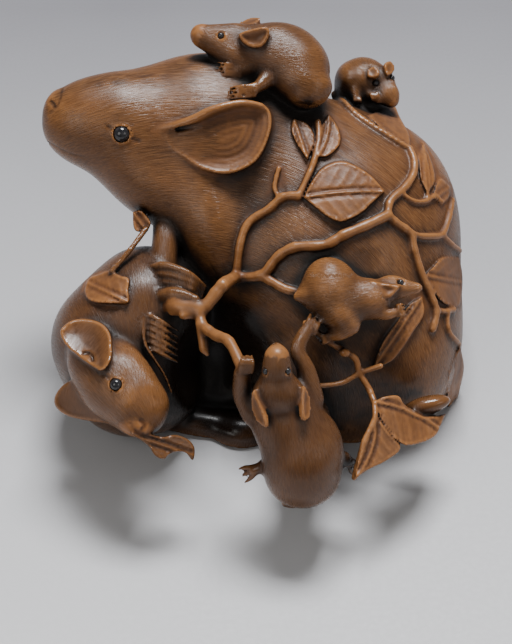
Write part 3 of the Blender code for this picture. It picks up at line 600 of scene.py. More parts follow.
def front_rat(c):
    """The rat that climbs at the front, seen from behind, with its head thrown back."""
    nose, reaching = c.of("nose"), c.of("reach")
    c.egg((14, -33, 50), (9, 13, 18), k=3)
    c.egg((14, -39.5, 66), (12.4, 15, 13), k=4)
    c.egg((14, -46.5, 64), (10.6, 9, 10), k=3)
    c.egg((8, -28, 69), (10, 11.5, 10), k=4)
    # Head and ears
    c.head((6.2, -18.7, 76), (0, 1, 0.2), (0, -0.2, 1), 20, 1.05, 1, 2)
    c.egg((6.8, -21.5, 75), (8.0, 6.0, 5.6), k=2)
    c.egg((6.2, -12.6, 78.5), (4.6, 4.1, 4.0), frame_of((0, 1, 0.1), (1, 0, 0)), 2)
    nose.egg((6.3, -9.8, 79), (2.6, 3.4, 3.2), frame_of((0, 1, 0.1), (1, 0, 0)), 1.2)
    c.groove([(5.2, -8.2, 81.4), (4.6, -9.2, 81.6)], [0.35, 0.2])
    c.groove([(7.4, -8.2, 81.4), (8.0, -9.2, 81.6)], [0.35, 0.2])
    c.pit((7.6, -28.8, 81.5), (3.4, 3.0, 4.2), k=1.6)
    for side, root, tip in ((-1, (-0.2, -20, 78.6), (3.4, -31.6, 79.2)),
                            (1, (13.4, -19, 78), (14.2, -29.6, 79))):
        c.ear(root, tip, (0.75 * side, 0.1, 0.65), 4.0, rim=0.5, thick=0.4, fat=0.9, under=1.4,
              bend=1.2 * side)
    # Left arm and right arm, each with its fingers
    c.limb([(-0.5, -27, 69), (-4, -21.5, 71), (-4.2, -15.5, 75)], [4.2, 3.0, 2.5])
    for i in range(4):
        c.limb([(-4.6 + 1.1 * i, -14.8, 77), (-4.4 + 1.1 * i, -12.2, 78.6), (-4.0 + 0.9 * i, -10.2, 77)],
               [0.9, 0.75, 0.4], 0.25)
    reaching.limb([(16, -23, 67), (15.2, -15, 68), (12.6, -9, 68), (14, -4.5, 67), (16.4, -1, 65)],
                  [4.4, 2.9, 2.4, 2.2, 2.0])
    for i in range(3):
        reaching.limb([(15 + 1.2 * i, -2 - 0.7 * i, 66), (15.8 + 1.3 * i, 0.6 - 0.9 * i, 66),
                       (16.4 + 1.4 * i, 2.4 - i, 63)], [0.85, 0.75, 0.4], 0.25)
    # Legs and the start of the tail
    c.limb([(8, -46, 62), (3, -43.5, 62)], [4, 2.4])
    foot(c, [(5.5, -42, 64), (-0.5, -44.4, 63), (-4, -46, 61)], 2.0, 3)
    c.limb([(20, -44, 62), (26, -41, 62)], [4, 2.4])
    foot(c, [(24, -40.5, 62), (28, -42, 62), (30.5, -44.5, 60)], 1.7, 3)
    c.limb([(11, -51, 62), (8.6, -54.6, 60), (14, -54.2, 57), (21, -50.5, 57)], [2.6, 0.9, 1.4, 1.6])


def foot(c, stations, girth, toes):
    """A long foot with toes spread from its end."""
    c = c.of("foot")
    a, b, e = [np.array(p, float) for p in stations]
    c.limb([a, b], [girth, girth * 0.8], 1)
    ahead = e - b
    aside = np.array([-ahead[1], ahead[0], 0.0])
    for i in range(toes):
        q = i / (toes - 1) - 0.5
        root = b + aside * q * 0.55
        c.limb([root, root + ahead * 0.6 + aside * q * 0.4, root + ahead * 1.05 + aside * q * 0.6],
               [girth * 0.38, girth * 0.36, girth * 0.18], 0.3)


def middle_rat(c):
    """The rat on the flank, its haunch at the left running out into a stem."""
    c.egg((22.6, 9.4, 58.5), (10.2, 8.6, 9.5), frame_of((-0.35, 1, 0), (1, 0, 0)), 2)
    c.egg((25.4, 2.0, 60.5), (5.6, 5.2, 6.5), frame_of((1, -0.2, 0)), 3)
    c.limb([(20, 9, 60), (16, 8.4, 61), (12.4, 7.6, 60.5)], [3.6, 2.2, 1.0], 2)
    c.egg((33.2, 7.0, 59), (7.4, 6.2, 7), frame_of((1, 0.05, 0)), 3)
    c.egg((17, 8.2, 58), (4.6, 3.0, 4), PLAIN, 3)
    # Head and ear
    spot, size = c.head((40.4, 10.3, 57.5), (1, 0.05, 0.12), (-0.1, 1, 0.2), 15, 1.05, 1.0, 1.5)
    c.muzzle(spot, size)
    flap = smooth_ring([(34.2, 12.2), (36.6, 10.2), (38.4, 8), (39.9, 7.3), (41.4, 8.4), (43.2, 10.8),
                        (40.4, 11.3), (37.4, 11.8)])
    c.of("ear").patch(flap, lambda a, u: 62.6 + 0.10 * (39 - a) - 0.15 * (u - 10), 0.5,
                      dish_relief(0.45, 0.8), 2.0, 0.4)
    # Hand and foot
    c.limb([(35, 4, 59), (39, 2.4, 61), (42.6, 3.2, 61)], [3.0, 1.8, 1.3])
    fingers(c, (42.4, 3.4, 61.6), (1, 0.15, 0), (0.2, -1, 0), 2.6, 4, 0.55)
    c.limb([(28, -1, 62), (25, -3.6, 62), (21.5, -4.4, 61)], [3.2, 2.0, 1.4])
    fingers(c, (21.8, -4.6, 61.6), (-1, -0.35, 0), (0.3, -1, 0), 3.2, 3, 0.55)


def fingers(c, root, along, aside, long, count, girth):
    """A row of slim fingers side by side."""
    c = c.of("paw")
    root, along, aside = [np.asarray(v, float) for v in (root, along, aside)]
    for i in range(count):
        a = root + aside * (i - (count - 1) / 2) * girth * 1.9
        c.limb([a, a + along * long * 0.55 + np.array([0, 0, 0.5]), a + along * long - np.array([0, 0, 0.7])],
               [girth, girth * 0.95, girth * 0.45], 0.2)


def top_rat(c):
    """The rat that lies along the back, its hands on the head of the large one."""
    nose, ear, reaching = c.of("nose"), c.of("ear"), c.of("reach")
    c.egg((10.4, 78.0, 38), (12.8, 10.2, 11), frame_of((1, -0.95, 0)), 2)
    c.egg((12.2, 75.5, 42), (8.2, 9, 8), frame_of((0.6, -1, 0), (1, 0.6, 0)), 3)
    c.egg((3, 80.2, 40), (11, 8.4, 9), frame_of((1, -0.35, 0)), 4)
    c.egg((14.8, 71.4, 44), (5.8, 8.2, 6.6), frame_of((0.25, 1, 0), (1, 0, 0)), 2.5)
    c.egg((15.2, 67.4, 44), (5.2, 3.2, 5.5), k=2)
    # Head, nose, mouth and ears
    c.head((-6.2, 84.2, 42), (-1, 0.08, 0.1), (0, 1, 0.15), 19, 1.05, 1.15, 2)
    c.egg((-12.6, 85.0, 42.6), (6.6, 4.2, 4.4), frame_of((-1, 0.22, 0.05)), 2, taper=0.12)
    nose.egg((-16.6, 86.2, 43), (3.0, 3.1, 3.2), k=1.2)
    c.egg((-6.4, 79.6, 42), (8.4, 4.6, 6), frame_of((1, -0.85, 0)), 3)
    c.groove([(-19.2, 87.3, 44.6), (-18.2, 88.0, 45)], [0.35, 0.25])
    c.groove([(-18.6, 84.4, 45.2), (-16.4, 83.6, 46.4), (-13.6, 82.6, 46.9)], [0.3, 0.3, 0.2])
    flap = smooth_ring([(-5, 86.4), (-1, 87.9), (3.2, 88.4), (4, 86.2), (2, 82.8), (-1.4, 82.4), (-4, 84)])
    ear.patch(flap, lambda a, u: 49.3 + 0.10 * (a + 1) + 0.20 * (u - 85), 0.5,
              dish_relief(0.5, 0.9), 2.2, 0.4)
    c.ear((-6, 88.2, 42), (1, 90.6, 38), (0, 0.8, 0.5), 4, rim=0.4, thick=0.4)
    # Both hands and the foot
    fingers(c, (-4.5, 75.2, 45.6), (-1, 0.12, 0.1), (0.15, 1, 0), 7.5, 4, 0.6)
    reaching.limb([(-1, 77, 44), (-5, 75.4, 45.5)], [2.6, 1.3])
    fingers(c, (-0.5, 69.4, 49.4), (-1, -0.1, 0.1), (0.1, 1, 0), 8, 4, 0.6)
    reaching.limb([(3, 72.6, 46), (-0.5, 69.6, 49)], [2.6, 1.3])
    fingers(c, (17, 64.6, 49.5), (-1, -0.12, 0), (0, 1, 0), 6, 3, 0.6)


def second_rat(c):
    """The smaller rat behind it, looking down."""
    c.egg((32, 72.2, 16), (7.8, 7.2, 9), frame_of((1, -0.1, 0)), 2)
    c.of("large").egg((31.5, 65.6, 12), (8.5, 6.5, 10), frame_of((1, -0.3, 0)), 3)
    c.egg((27.6, 72.4, 16), (3.6, 4.6, 7), k=2)
    # Head, nose and ears
    c.head((37.4, 72.2, 20), (0.42, -0.80, 0.45), (0.1, 0.5, 0.8), 15, 1.15, 1, 1.5)
    c.egg((39.6, 68.2, 22.5), (3.4, 3.4, 3.2), k=1.5)
    c.of("nose").egg((40.9, 66.3, 23), (1.6, 1.6, 1.8), k=0.8)
    c.ear((33.4, 73.2, 25), (36.6, 75.8, 25), (-0.2, 0.4, 1), 3.8, rim=0.4, thick=0.4)
    c.ear((39.0, 73.6, 24), (40.4, 77.8, 21.5), (0.5, 0.2, 1), 3.6, rim=0.4, thick=0.4)
    # Both hands
    c.limb([(35, 70.6, 21), (34.6, 68, 23), (36.4, 66.8, 24)], [2.6, 1.6, 1.2])
    fingers(c, (35.4, 68.6, 24.6), (0.25, -1, 0), (1, 0.2, 0), 2.6, 3, 0.5)
    c.limb([(30, 72, 20), (29.8, 68.8, 22.6), (30.4, 66.6, 23)], [2.4, 1.3, 1.0])
    fingers(c, (30.3, 67.4, 23.6), (0.1, -1, 0), (1, 0, 0), 2.2, 3, 0.5)


def vine(c, radius, stations, near, lift=0.75):
    """A knotty stem through seen stations, laid on the skin or at a list of nearnesses."""
    path = smooth_path(stations, 4)
    if callable(near):
        depth = near(path[:, 0], path[:, 1], lift)
    else:
        depth = np.interp(np.linspace(0, 1, len(path)), np.linspace(0, 1, len(near)), near)
    points = [at(a, u, n) for (a, u), n in zip(path, depth)]
    share = np.arange(len(points))
    girth = radius * 0.80 * (1 + 0.06 * np.sin(2.1 * share + path[0, 0]) + 0.07 * (share % 8 == 0))
    c.block.add(limb_shape(points, girth, c.part, steps=1), 0.5)


def drape(c, near, rim, base, tip, bend=0.0, lift=0.35):
    """A leaf laid on the skin inside a closed outline, with its midrib from base to tip."""
    rim = np.asarray(rim, float)
    middle = rim.mean(0)
    a = np.concatenate([middle[0] + (rim[::2, 0] - middle[0]) * s for s in (0.25, 0.6, 0.95)])
    u = np.concatenate([middle[1] + (rim[::2, 1] - middle[1]) * s for s in (0.25, 0.6, 0.95)])
    sheet = sheet_through(a, u, near(a, u, lift, np.nan))
    c.patch(rim, sheet, 0.9, leaf_relief(base, tip, bend), 3.5, 0.3)


def stems(c, near):
    """The knobbed end of the branch, and the stems that lie on the skin: girth, lift and stations."""
    c.limb([(-26, 4.6, 56.5), (-23.6, 5.0, 58.2), (-20.6, 3.0, 59.6), (-17, 3, 60)], [1.7, 2.6, 1.8, 2.4])
    c.limb([(-25, 3.0, 58), (-21, 4.8, 60), (-16, 4.6, 60.5)], [1.0, 1.3, 1.2])
    c.egg((-21.4, 2.0, 60.4), (1.8, 1.3, 1.3), k=0.8)
    joint = float(near(-6, 13.5, 1.0))
    vine(c, 2.2, [(-17, 3), (-14, 6), (-10, 11), (-6, 13.5)], [60, 60, 59, joint])
    for radius, lift, stations in (
            (1.45, 0.75, [(-6, 13.5), (-4.6, 24), (-2, 30), (4, 34), (8, 37.5), (12.8, 38)]),
            (1.15, 0.75, [(12.8, 37.6), (16.2, 44.9), (17.7, 49.4), (18.8, 55.4), (18.5, 59.9)]),
            (0.85, 0.75, [(7, 37.4), (5.6, 40), (6, 43), (6.8, 46)]),
            (1.75, 0.9, [(-6, 13.5), (0, 13.6), (3, 15), (6.5, 19.5), (11.7, 22.4), (20.7, 23.1), (26, 26),
                         (33.5, 29.2), (39.5, 32)]),
            (1.35, 0.75, [(39.5, 32), (40.4, 36.4), (44.7, 40.4), (47.2, 44.4), (47.4, 48.4), (46, 52)]),
            (1.6, 1.0, [(1, 14), (5, 12), (9, 9.8), (14.5, 8.6)]),
            (1.45, 0.75, [(39.5, 32), (42.4, 29.6), (46.4, 26.4), (47.4, 21.8), (49.7, 14.1), (52.6, 7.4),
                          (54, 3), (53, -2)]),
            (0.95, 0.75, [(54, 3.6), (57, 3.2), (59.3, 3.8)]),
            (0.9, 0.75, [(57.4, 3.2), (57.8, -2.6), (61, -6.7)]),
            (1.15, 0.75, [(44.6, 28), (47.7, 26.1), (52.2, 25.7), (56, 26.5), (58, 32), (58.8, 36.6)]),
            (1.0, 0.75, [(56, 26), (58.6, 23.4), (61, 21.4)]),
            (0.85, 0.75, [(43.6, 38.6), (47.6, 36.2), (51.4, 36.4), (53.4, 38), (55.6, 36)]),
            (0.7, 0.75, [(51.3, 37), (51.8, 43), (50.6, 50)])):
        vine(c, radius, stations, near, lift)


def free_stems(c):
    """Stems that stand off the body, in front of the dark room and under the rat on the flank."""
    vine(c, 1.8, [(-17, 3), (-16, -1), (-12, -4), (-8, -6), (-4, -14)], [60, 62, 66, 70, 76])
    vine(c, 1.7, [(-16.4, -1), (-15.6, -8)], [62, 62])
    vine(c, 0.9, [(-16, -7.6), (-14.6, -9.6)], [62, 62])
    vine(c, 1.15, [(15, -0.5), (20, -4.6), (24.7, -7.6), (29.7, -10.9), (31, -15.1), (33.9, -20.1),
                   (35.5, -24.2)], [62, 61, 59, 58, 57, 57, 59])
    c.egg((26.6, -9.2, 60.2), (1.7, 1.4, 1.4), k=0.6)
    vine(c, 0.95, [(31, -15.3), (25.5, -18.3), (18, -19.2), (14, -18.6)], [57, 58, 60, 62])
    vine(c, 0.9, [(31, -15.2), (37.4, -13.2)], [57, 59])
    vine(c, 1.0, [(35.5, -24.2), (35.5, -29.2), (32.4, -36), (29.4, -46.7)], [62, 64.6, 67, 67.5])


def thin_tail(c, near):
    """The ringed tail of the young rat on the back."""
    girth = 1.15
    path = smooth_path([(23.6, 68.2), (29, 62.9), (34.2, 59.1), (40.2, 55.4), (44.7, 52.6)], 4)
    depth = near(path[:, 0], path[:, 1], 0.7)
    points = [at(a, u, n) for (a, u), n in zip(path, depth)]
    c.block.add(limb_shape(points, np.linspace(girth, girth * 0.7, len(points)), c.part, 0.62, 1), 0.4)


def flank_leaves(c, near):
    """Leaves on the flank, each with its base, tip, both edges, the bend of its midrib and its lift."""
    for base, tip, upper, lower, bend, lift in (
            ((15.5, 48.6), (11.2, 61.2), [(12.5, 53), (10.6, 57.6)], [(15.2, 59.6), (17.6, 55)], 0, 0.35),
            ((18.4, 49.4), (21.8, 62.4), [(18.9, 54), (19.6, 58.6)], [(24.6, 58.2), (25.2, 53.6), (22, 50)],
             -1.2, 0.35),
            ((14.3, 37.4), (38.6, 39.2), [(16.6, 42), (20, 46.2), (25.4, 48.2), (30.6, 46.4), (35, 43.4)],
             [(35, 35.9), (31.2, 32.5), (26, 30.2), (22, 31.3), (17.7, 34.6)], 0.6, 0.6)):
        drape(c, near, leaf_rim(base, tip, upper, lower), base, tip, bend, lift)
    drape(c, near, leaf_rim((46.2, 52.4), (33.6, 61.8), [(41.7, 55.4), (37.2, 58.4)],
                            [(37.2, 63.6), (41, 65.6), (43.2, 61.4), (45.8, 56.4)]),
          (46.2, 52.4), (34, 62.6), 1.0, 0.8)
    for base, tip, upper, lower in (
            ((51.4, 38.4), (50.2, 54), [(49.4, 43), (48.8, 49)], [(53, 47), (53.6, 42)]),
            ((53.4, 37), (58.2, 40.6), [(53.8, 40.6), (55.6, 43)], [(58, 37.6), (56, 35.6)])):
        drape(c, near, leaf_rim(base, tip, upper, lower), base, tip)
    drape(c, near, leaf_rim((50.6, 14), (61, 19.6), [(53, 16.4), (56, 19.4)],
                            [(62, 13), (61, 5), (57, 5.2), (54, 8)]), (50.6, 14), (61, 12))
    for base, tip, upper, lower, lift in (
            ((49.8, 7.6), (35, -14), [(46.2, 5.4), (42.6, 0.6), (38.9, -4.4), (36.2, -10)],
             [(40.3, -11.9), (43.9, -7.8), (47.2, -2.8), (50.4, 2.4)], 0.8),
            ((61.2, -7), (58, -27.6), [(62.4, -13.4), (61.4, -19.2), (59.8, -24.6)],
             [(57.3, -22.4), (57.7, -16.6), (59.3, -11.6)], 0.6)):
        drape(c, near, leaf_rim(base, tip, upper, lower), base, tip, 0, lift)


def side_leaf(c, near):
    """The leaf on the back of the left rat."""
    rim = smooth_ring([(-51.4, 9.6), (-50.2, 13), (-47, 14.4), (-43.8, 15.4), (-40.6, 13.8), (-38.2, 13),
                       (-38.4, 9.4), (-38.2, 5.8), (-42.6, 5.6), (-47.8, 5.8), (-50.6, 7)])
    drape(c, near, rim, (-38.4, 6), (-51, 12), 0, 0.6)


def low_leaves(c):
    """The two free leaves at the lower right, with the foot between them."""
    sheet = sheet_through([36, 43, 49, 55, 44, 53], [-24, -22, -28, -31, -33, -34],
                          [61, 58, 55.5, 50, 61, 55])
    upper = leaf_rim((35.4, -24), (57, -27.4),
                     [(38.2, -22.5), (42.8, -22.2), (44.8, -25.8), (49, -28.2), (53.6, -28.4)],
                     [(55.4, -31), (53.6, -34.3), (48.9, -36.4), (43.8, -36.6), (38.6, -31)])
    c.patch(upper, sheet, 1.1, leaf_relief((35.4, -24), (55, -32), 1.5), 1.8, 0.3)
    sheet = sheet_through([36, 43, 39, 32, 29.5, 34], [-28, -38, -41, -45, -47, -36],
                          [63, 62.5, 64.5, 67, 68, 66])
    lower = leaf_rim((35.4, -27), (29.4, -47.4), [(40, -33.4), (43.4, -37.8), (38.9, -41.7), (33.4, -44.4)],
                     [(31.6, -38.4), (34.8, -32)])
    c.patch(lower, sheet, 1.1, leaf_relief((35.6, -27), (29.4, -47.4), 2.4), 1.8, 0.3)
    c.of("foot").egg((43, -30.5, 56), (7, 5.5, 3.4), frame_of((1, -0.3, -0.3), (0, 1, 0.2)), 1.5)


def gnawed_leaf(c):
    """The ragged leaf the left rat gnaws."""
    rim = smooth_ring([(-38, -33), (-33.5, -33.2), (-28, -34.5), (-24.4, -33.8), (-20.4, -35.2),
                       (-18.4, -38), (-19, -41.6), (-21.4, -39), (-25.6, -39.4), (-27.6, -41.2),
                       (-30.4, -40), (-32.4, -37)])
    sheet = sheet_through([-36, -28, -20, -30, -19, -26], [-33, -35, -36, -39, -41, -39],
                          [68, 66, 62, 67, 63, 65])
    c.patch(rim, sheet, 1.1, leaf_relief((-37, -34), (-19, -40), 0.0), 1.6, 0.3)


def neck_leaf(c):
    """The small leaf at the end of the twig by the neck."""
    base, tip = (-32.6, 27), (-37, 33)
    rim = leaf_rim(base, tip, [(-36.4, 27.6)], [(-34.4, 33.4), (-31.6, 30)])
    c.patch(rim, lambda a, u: 44.5 + 0 * a, 0.9, leaf_relief(base, tip, 0), 1.5, 0.3)


def floor_foot(c):
    """The foot on the floor of the dark room."""
    c.egg((-12, -31, 24), (20, 5, 6), frame_of((1, -0.15, 0)), 2)
    c.egg((-4, -33, 26), (9, 6, 7), k=2)
    c.limb([(-28, -30, 50), (-22, -31.5, 52), (-14, -31, 50), (-8, -30, 44)], [2.6, 2.8, 3.2, 4], 1.5)
    fingers(c, (-21, -33, 54), (-0.9, -0.35, 0.1), (0.3, -1, 0), 6, 4, 0.7)


def large_ear(c, near):
    """The ear of the large rat: a dished sheet sunk at its root, with a rolled upper edge and a slit."""
    rim = smooth_ring([(-27.5, 56.4), (-26.6, 58.3), (-22.2, 59.6), (-17.8, 61.4), (-12.5, 64.1),
                       (-4.5, 66.1), (2.1, 65.2), (4.6, 61.8), (3.9, 55.7), (-0.1, 48.2), (-8.1, 44.5),
                       (-16, 45.8), (-21.7, 49.4), (-25.7, 52.3)])
    a = np.array([-27, -20, -12, -4, 2, 4, 2, -2, -7, -12, -17, -22, -10, -4])
    u = np.array([57, 60.5, 64, 65.5, 64.5, 60, 54, 49, 46, 46.5, 49, 52, 55, 57])
    raised = np.interp(a + 0.5 * (u - 50), [-26, -22, -17, -8, 4], [-3.2, -2.0, 0.1, 1.9, 3.0])
    sheet = sheet_through(a, u, near(a, u, 0.0) + raised)
    c.patch(rim, sheet, 0.8, dish_relief(0.8, 1.6, 0.12, 1.9), 4.0, 1.1)
    top = smooth_path([(-31, 57.2), (-26.6, 58.5), (-22.2, 59.5), (-17.8, 61.3), (-12.5, 63.9), (-4.5, 65.8),
                       (1.6, 64.9)], 4)
    sunk = np.interp(np.arange(len(top)), [0, 9], [-1.1, 0.3])
    roll = np.maximum(sheet(top[:, 0], top[:, 1]) + 0.9, near(top[:, 0], top[:, 1]) + sunk)
    girth = np.interp(np.arange(len(top)), [0, 8, 14, 24], [0.5, 1.2, 1.2, 0.6])
    c.block.add(limb_shape([at(x, y, n) for (x, y), n in zip(top, roll)], girth, c.part, steps=1), 1.0)
    slit = smooth_path([(-23.5, 58.0), (-20.4, 58.4), (-17, 59.0)], 3)
    points = [at(x, y, float(sheet(x, y)) + 0.7) for x, y in slit]
    c.block.cut(limb_shape(points, 0.8, "groove", steps=1), 0.4)


def hind_leaf(block, place):
    """A plain leaf with a midrib and side veins, laid where place(share of length, height) says."""
    wide = 4.6
    base, middle, tip = place(0.0, 0.0), place(0.5, 0.0), place(1.0, 0.0)
    long = tip - base
    out = np.cross(long, place(0.5, 3.0) - place(0.5, -3.0))
    axes = np.stack([unit(long), unit(np.cross(out, long)), unit(out)])
    size = np.array([0.5 * np.linalg.norm(long), wide, 1.1])
    block.add(egg_shape(middle, size, axes, 0.0, "leaf"), 0.4)
    rise = axes[2] * math.copysign(0.7, float(axes[2] @ (middle - np.array([*BODY_AXIS, middle[2]]))))
    block.add(limb_shape([base, middle + rise, tip], 0.45, "leaf"), 0.3)
    for t in (0.3, 0.5, 0.7):
        for side in (-1, 1):
            vein = [place(t, 0.0) + rise, place(t + 0.16, side * wide * 0.7) + rise * 0.6]
            block.add(limb_shape(vein, 0.25, "leaf"), 0.3)


def hind_parts(c, field):
    """Hind foot, tail round the back, and plainer stems and leaves on the hidden side."""
    c.of("foot").egg((51, -25, 50), (7.5, 2.8, 4.5), frame_of((1, 0.25, 0)), 2)
    block = c.block
    axis = np.array([*BODY_AXIS, 0.0])

    def around(degrees, height, lift):
        t = math.radians(degrees)
        out = np.array([math.cos(t), math.sin(t), 0.0])
        start = axis + out * 75.0 + np.array([0, 0, height])
        start = np.clip(start, block.low + 0.1, block.low + (np.array(block.size) - 2) * block.cell)
        gone = meet(block, field, start[None], -out[None], 80.0)[0]
        return start - out * (gone - lift)
    tail = [around(14.0 + 19.0 * i, 9.0 - 0.4 * i, 1.0) for i in range(9)]
    block.add(limb_shape(tail, [4.6 - 0.42 * i for i in range(9)], "tail", rings=0.25), 1.0)
    for start, rise, run in ((20.0, 30.0, 16.0), (75.0, 26.0, 17.0), (120.0, 30.0, 13.0)):
        def height(i):
            return rise + 7.0 * math.sin(1.3 * i) + 3.0 * i
        stem = [around(start + run * i, height(i), 0.6) for i in range(4)]
        block.add(limb_shape(stem, 1.3, "vine"), 0.6)
        for k in (1, 3):
            hind_leaf(block, lambda share, w: around(start + run * k + 3 + 17 * share,
                                                     height(k) + 5 * share + w, 0.5))


def bead_places():
    """Centre and radius in mm of each inlaid eye."""
    out = {}
    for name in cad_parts:
        if name.startswith("eye_"):
            low, high = [np.array(v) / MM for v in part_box(name)]
            out[name] = ((low + high) / 2, float((high - low).mean()) / 2)
    return out


def sockets(block, eyes):
    """Seats each eye in the skin, with a raised lid round it."""
    for name, (centre, radius) in eyes.items():
        slope = np.array([block.read(block.field, centre + e) - block.read(block.field, centre - e)
                          for e in np.eye(3) * 1.2])
        out = unit(slope)
        sunk = float(block.read(block.field, centre)) + 0.3 * radius
        centre = centre - out * np.clip(sunk, -2.5, 2.5)
        eyes[name] = (centre, radius)
        block.add(ring_shape(centre + out * radius * 0.30, out, radius * 1.04, radius * 0.20, "lid"), 0.3)
        block.cut(egg_shape(centre, np.full(3, radius + 0.1), np.eye(3), 0.0, "seat"), 0.05)


def blurred(a, reach):
    """Mean over a cube of cells that reaches that many cells each way."""
    for axis in range(3):
        c = np.cumsum(a, axis=axis, dtype=np.float32)
        last = c.shape[axis] - 1
        up = np.minimum(np.arange(last + 1) + reach, last)
        down = np.arange(last + 1) - reach - 1
        low_part = c.take(np.maximum(down, 0), axis)
        shape = [1, 1, 1]
        shape[axis] = last + 1
        low_part = low_part * (down >= 0).reshape(shape)
        a = (c.take(up, axis) - low_part) / (2 * reach + 1)
    return a


# The carving, from the body outwards

block = Block(LOW, HIGH, CELL)
carver = Carver(block, "large")
large_body(carver)
large_head(carver.of("large_head"))
for _ in range(SOFTENING_ROUNDS):
    block.field = blurred(block.field, round(SOFTENING / CELL))
skin = block.field.copy()
near = seen_surface(block, skin)
large_face(carver)
hollows(carver)
left_rat(carver.of("left"))
side_near = carver.near_now()
left_room(carver)
left_head(carver.of("left_head"))
left_ears(carver.of("left_ear"))
large_hands(carver.of("arm"))
front_rat(carver.of("front"))
middle_rat(carver.of("middle"))
top_rat(carver.of("top"))
second_rat(carver.of("second"))
large_ear(carver.of("ear"), near)
floor_foot(carver.of("foot"))
stems(carver.of("vine"), near)
free_stems(carver.of("vine"))
thin_tail(carver.of("tail"), near)
vine(carver.of("arm"), 0.95, [(-33, 28), (-37.8, 21.6), (-43.3, 15.1)], [46, 50, 52])
flank_leaves(carver.of("leaf"), near)
side_leaf(carver.of("leaf"), side_near)
low_leaves(carver.of("leaf"))
gnawed_leaf(carver.of("gnawed"))
neck_leaf(carver.of("leaf"))
hind_parts(carver, skin)
eyes = bead_places()
sockets(block, eyes)
block.field = np.maximum(block.field, -block.axes[2][None, None, :])


# From the grid to a mesh

def surface(field, low, cell):
    """A closed skin of four-sided faces where the field changes sign."""
    s = field < 0
    n0, n1, n2 = s.shape
    count = np.zeros((n0 - 1, n1 - 1, n2 - 1), np.int8)
    for dx in (0, 1):
        for dy in (0, 1):
            for dz in (0, 1):
                count += s[dx:n0 - 1 + dx, dy:n1 - 1 + dy, dz:n2 - 1 + dz]
    active = (count > 0) & (count < 8)
    index = np.full(active.shape, -1, np.int64)
    cells = np.argwhere(active)
    index[active] = np.arange(len(cells))
    total = np.zeros((len(cells), 3))
    crossings = np.zeros(len(cells))
    i, j, k = cells.T
    for axis in range(3):
        others = [q for q in range(3) if q != axis]
        for e in (0, 1):
            for g in (0, 1):
                off = [0, 0, 0]
                off[others[0]], off[others[1]] = e, g
                end = list(off)
                end[axis] = 1
                va = field[i + off[0], j + off[1], k + off[2]]
                vb = field[i + end[0], j + end[1], k + end[2]]
                m = (va < 0) != (vb < 0)
                p = np.tile(np.array(off, float), (m.sum(), 1))
                p[:, axis] = va[m] / (va[m] - vb[m])
                total[m] += p
                crossings[m] += 1
    points = (cells + total / crossings[:, None]) * cell + low
    faces = []
    for axis in range(3):
        o1, o2 = [(1, 2), (2, 0), (0, 1)][axis]
        here = s.take(range(s.shape[axis] - 1), axis)
        there = s.take(range(1, s.shape[axis]), axis)
        inner = [slice(None)] * 3
        inner[o1] = slice(1, s.shape[o1] - 1)
        inner[o2] = slice(1, s.shape[o2] - 1)
        edge = np.argwhere((here != there)[tuple(inner)])
        edge[:, o1] += 1
        edge[:, o2] += 1
        flip = here[tuple(edge.T)]
        corner = []
        for d1, d2 in ((-1, -1), (0, -1), (0, 0), (-1, 0)):
            q = edge.copy()
            q[:, o1] += d1
            q[:, o2] += d2
            corner.append(index[tuple(q.T)])
        quad = np.stack(corner, 1)
        faces.append(np.where(flip[:, None], quad, quad[:, ::-1]))
    return points, np.vstack(faces)


def keep_largest(points, faces):
    """Drops loose crumbs: only the largest connected skin stays."""
    label = np.arange(len(points))
    while True:
        low = label[faces].min(1)
        new = label.copy()
        np.minimum.at(new, faces.ravel(), np.repeat(low, 4))
        new = new[new]
        if (new == label).all():
            break
        label = new
    names, sizes = np.unique(label, return_counts=True)
    keep = label == names[sizes.argmax()]
    number = np.cumsum(keep) - 1
    return points[keep], number[faces[keep[faces[:, 0]]]]


def mesh_object(name, points, faces):
    """A mesh of four-sided faces, its points given in mm."""
    mesh = bpy.data.meshes.new(name)
    mesh.vertices.add(len(points))
    mesh.vertices.foreach_set("co", (points * MM).astype(np.float32).ravel())
    mesh.loops.add(faces.size)
    mesh.loops.foreach_set("vertex_index", faces.astype(np.int32).ravel())
    mesh.polygons.add(len(faces))
    mesh.polygons.foreach_set("loop_start", np.arange(0, faces.size, 4, dtype=np.int32))
    mesh.update(calc_edges=True)
    mesh.validate()
    obj = bpy.data.objects.new(name, mesh)
    bpy.context.scene.collection.objects.link(obj)
    return obj


def baked(obj):
    """Makes the modifiers of an object part of its mesh."""
    graph = bpy.context.evaluated_depsgraph_get()
    graph.update()
    mesh = bpy.data.meshes.new_from_object(obj.evaluated_get(graph), depsgraph=graph)
    old = obj.data
    obj.modifiers.clear()
    obj.data = mesh
    bpy.data.meshes.remove(old)


points, faces = keep_largest(*surface(block.field, block.low, CELL))
carving = mesh_object("carving_relief", points, faces)
thin = carving.modifiers.new("facets", "DECIMATE")
thin.ratio = min(1.0, MOST_TRIANGLES / (2.0 * len(faces)))
baked(carving)
print("carving", len(faces) * 2, "->", sum(len(p.vertices) - 2 for p in carving.data.polygons))


# Readings off the sculpting grid for the finish of the wood and the shade painted on it

def corner_values(obj):
    """Places in mm and facings of the corners of a mesh."""
    co = np.empty(len(obj.data.vertices) * 3, np.float32)
    no = np.empty_like(co)
    obj.data.vertices.foreach_get("co", co)
    obj.data.vertex_normals.foreach_get("vector", no)
    return co.reshape(-1, 3) / MM, no.reshape(-1, 3)


def write_value(obj, name, values):
    """Keeps a value for each corner of the mesh, for the material to read."""
    kind = "FLOAT" if values.ndim == 1 else "FLOAT_VECTOR"
    layer = obj.data.attributes.new(name, kind, "POINT")
    layer.data.foreach_set("value" if kind == "FLOAT" else "vector", values.astype(np.float32).ravel())


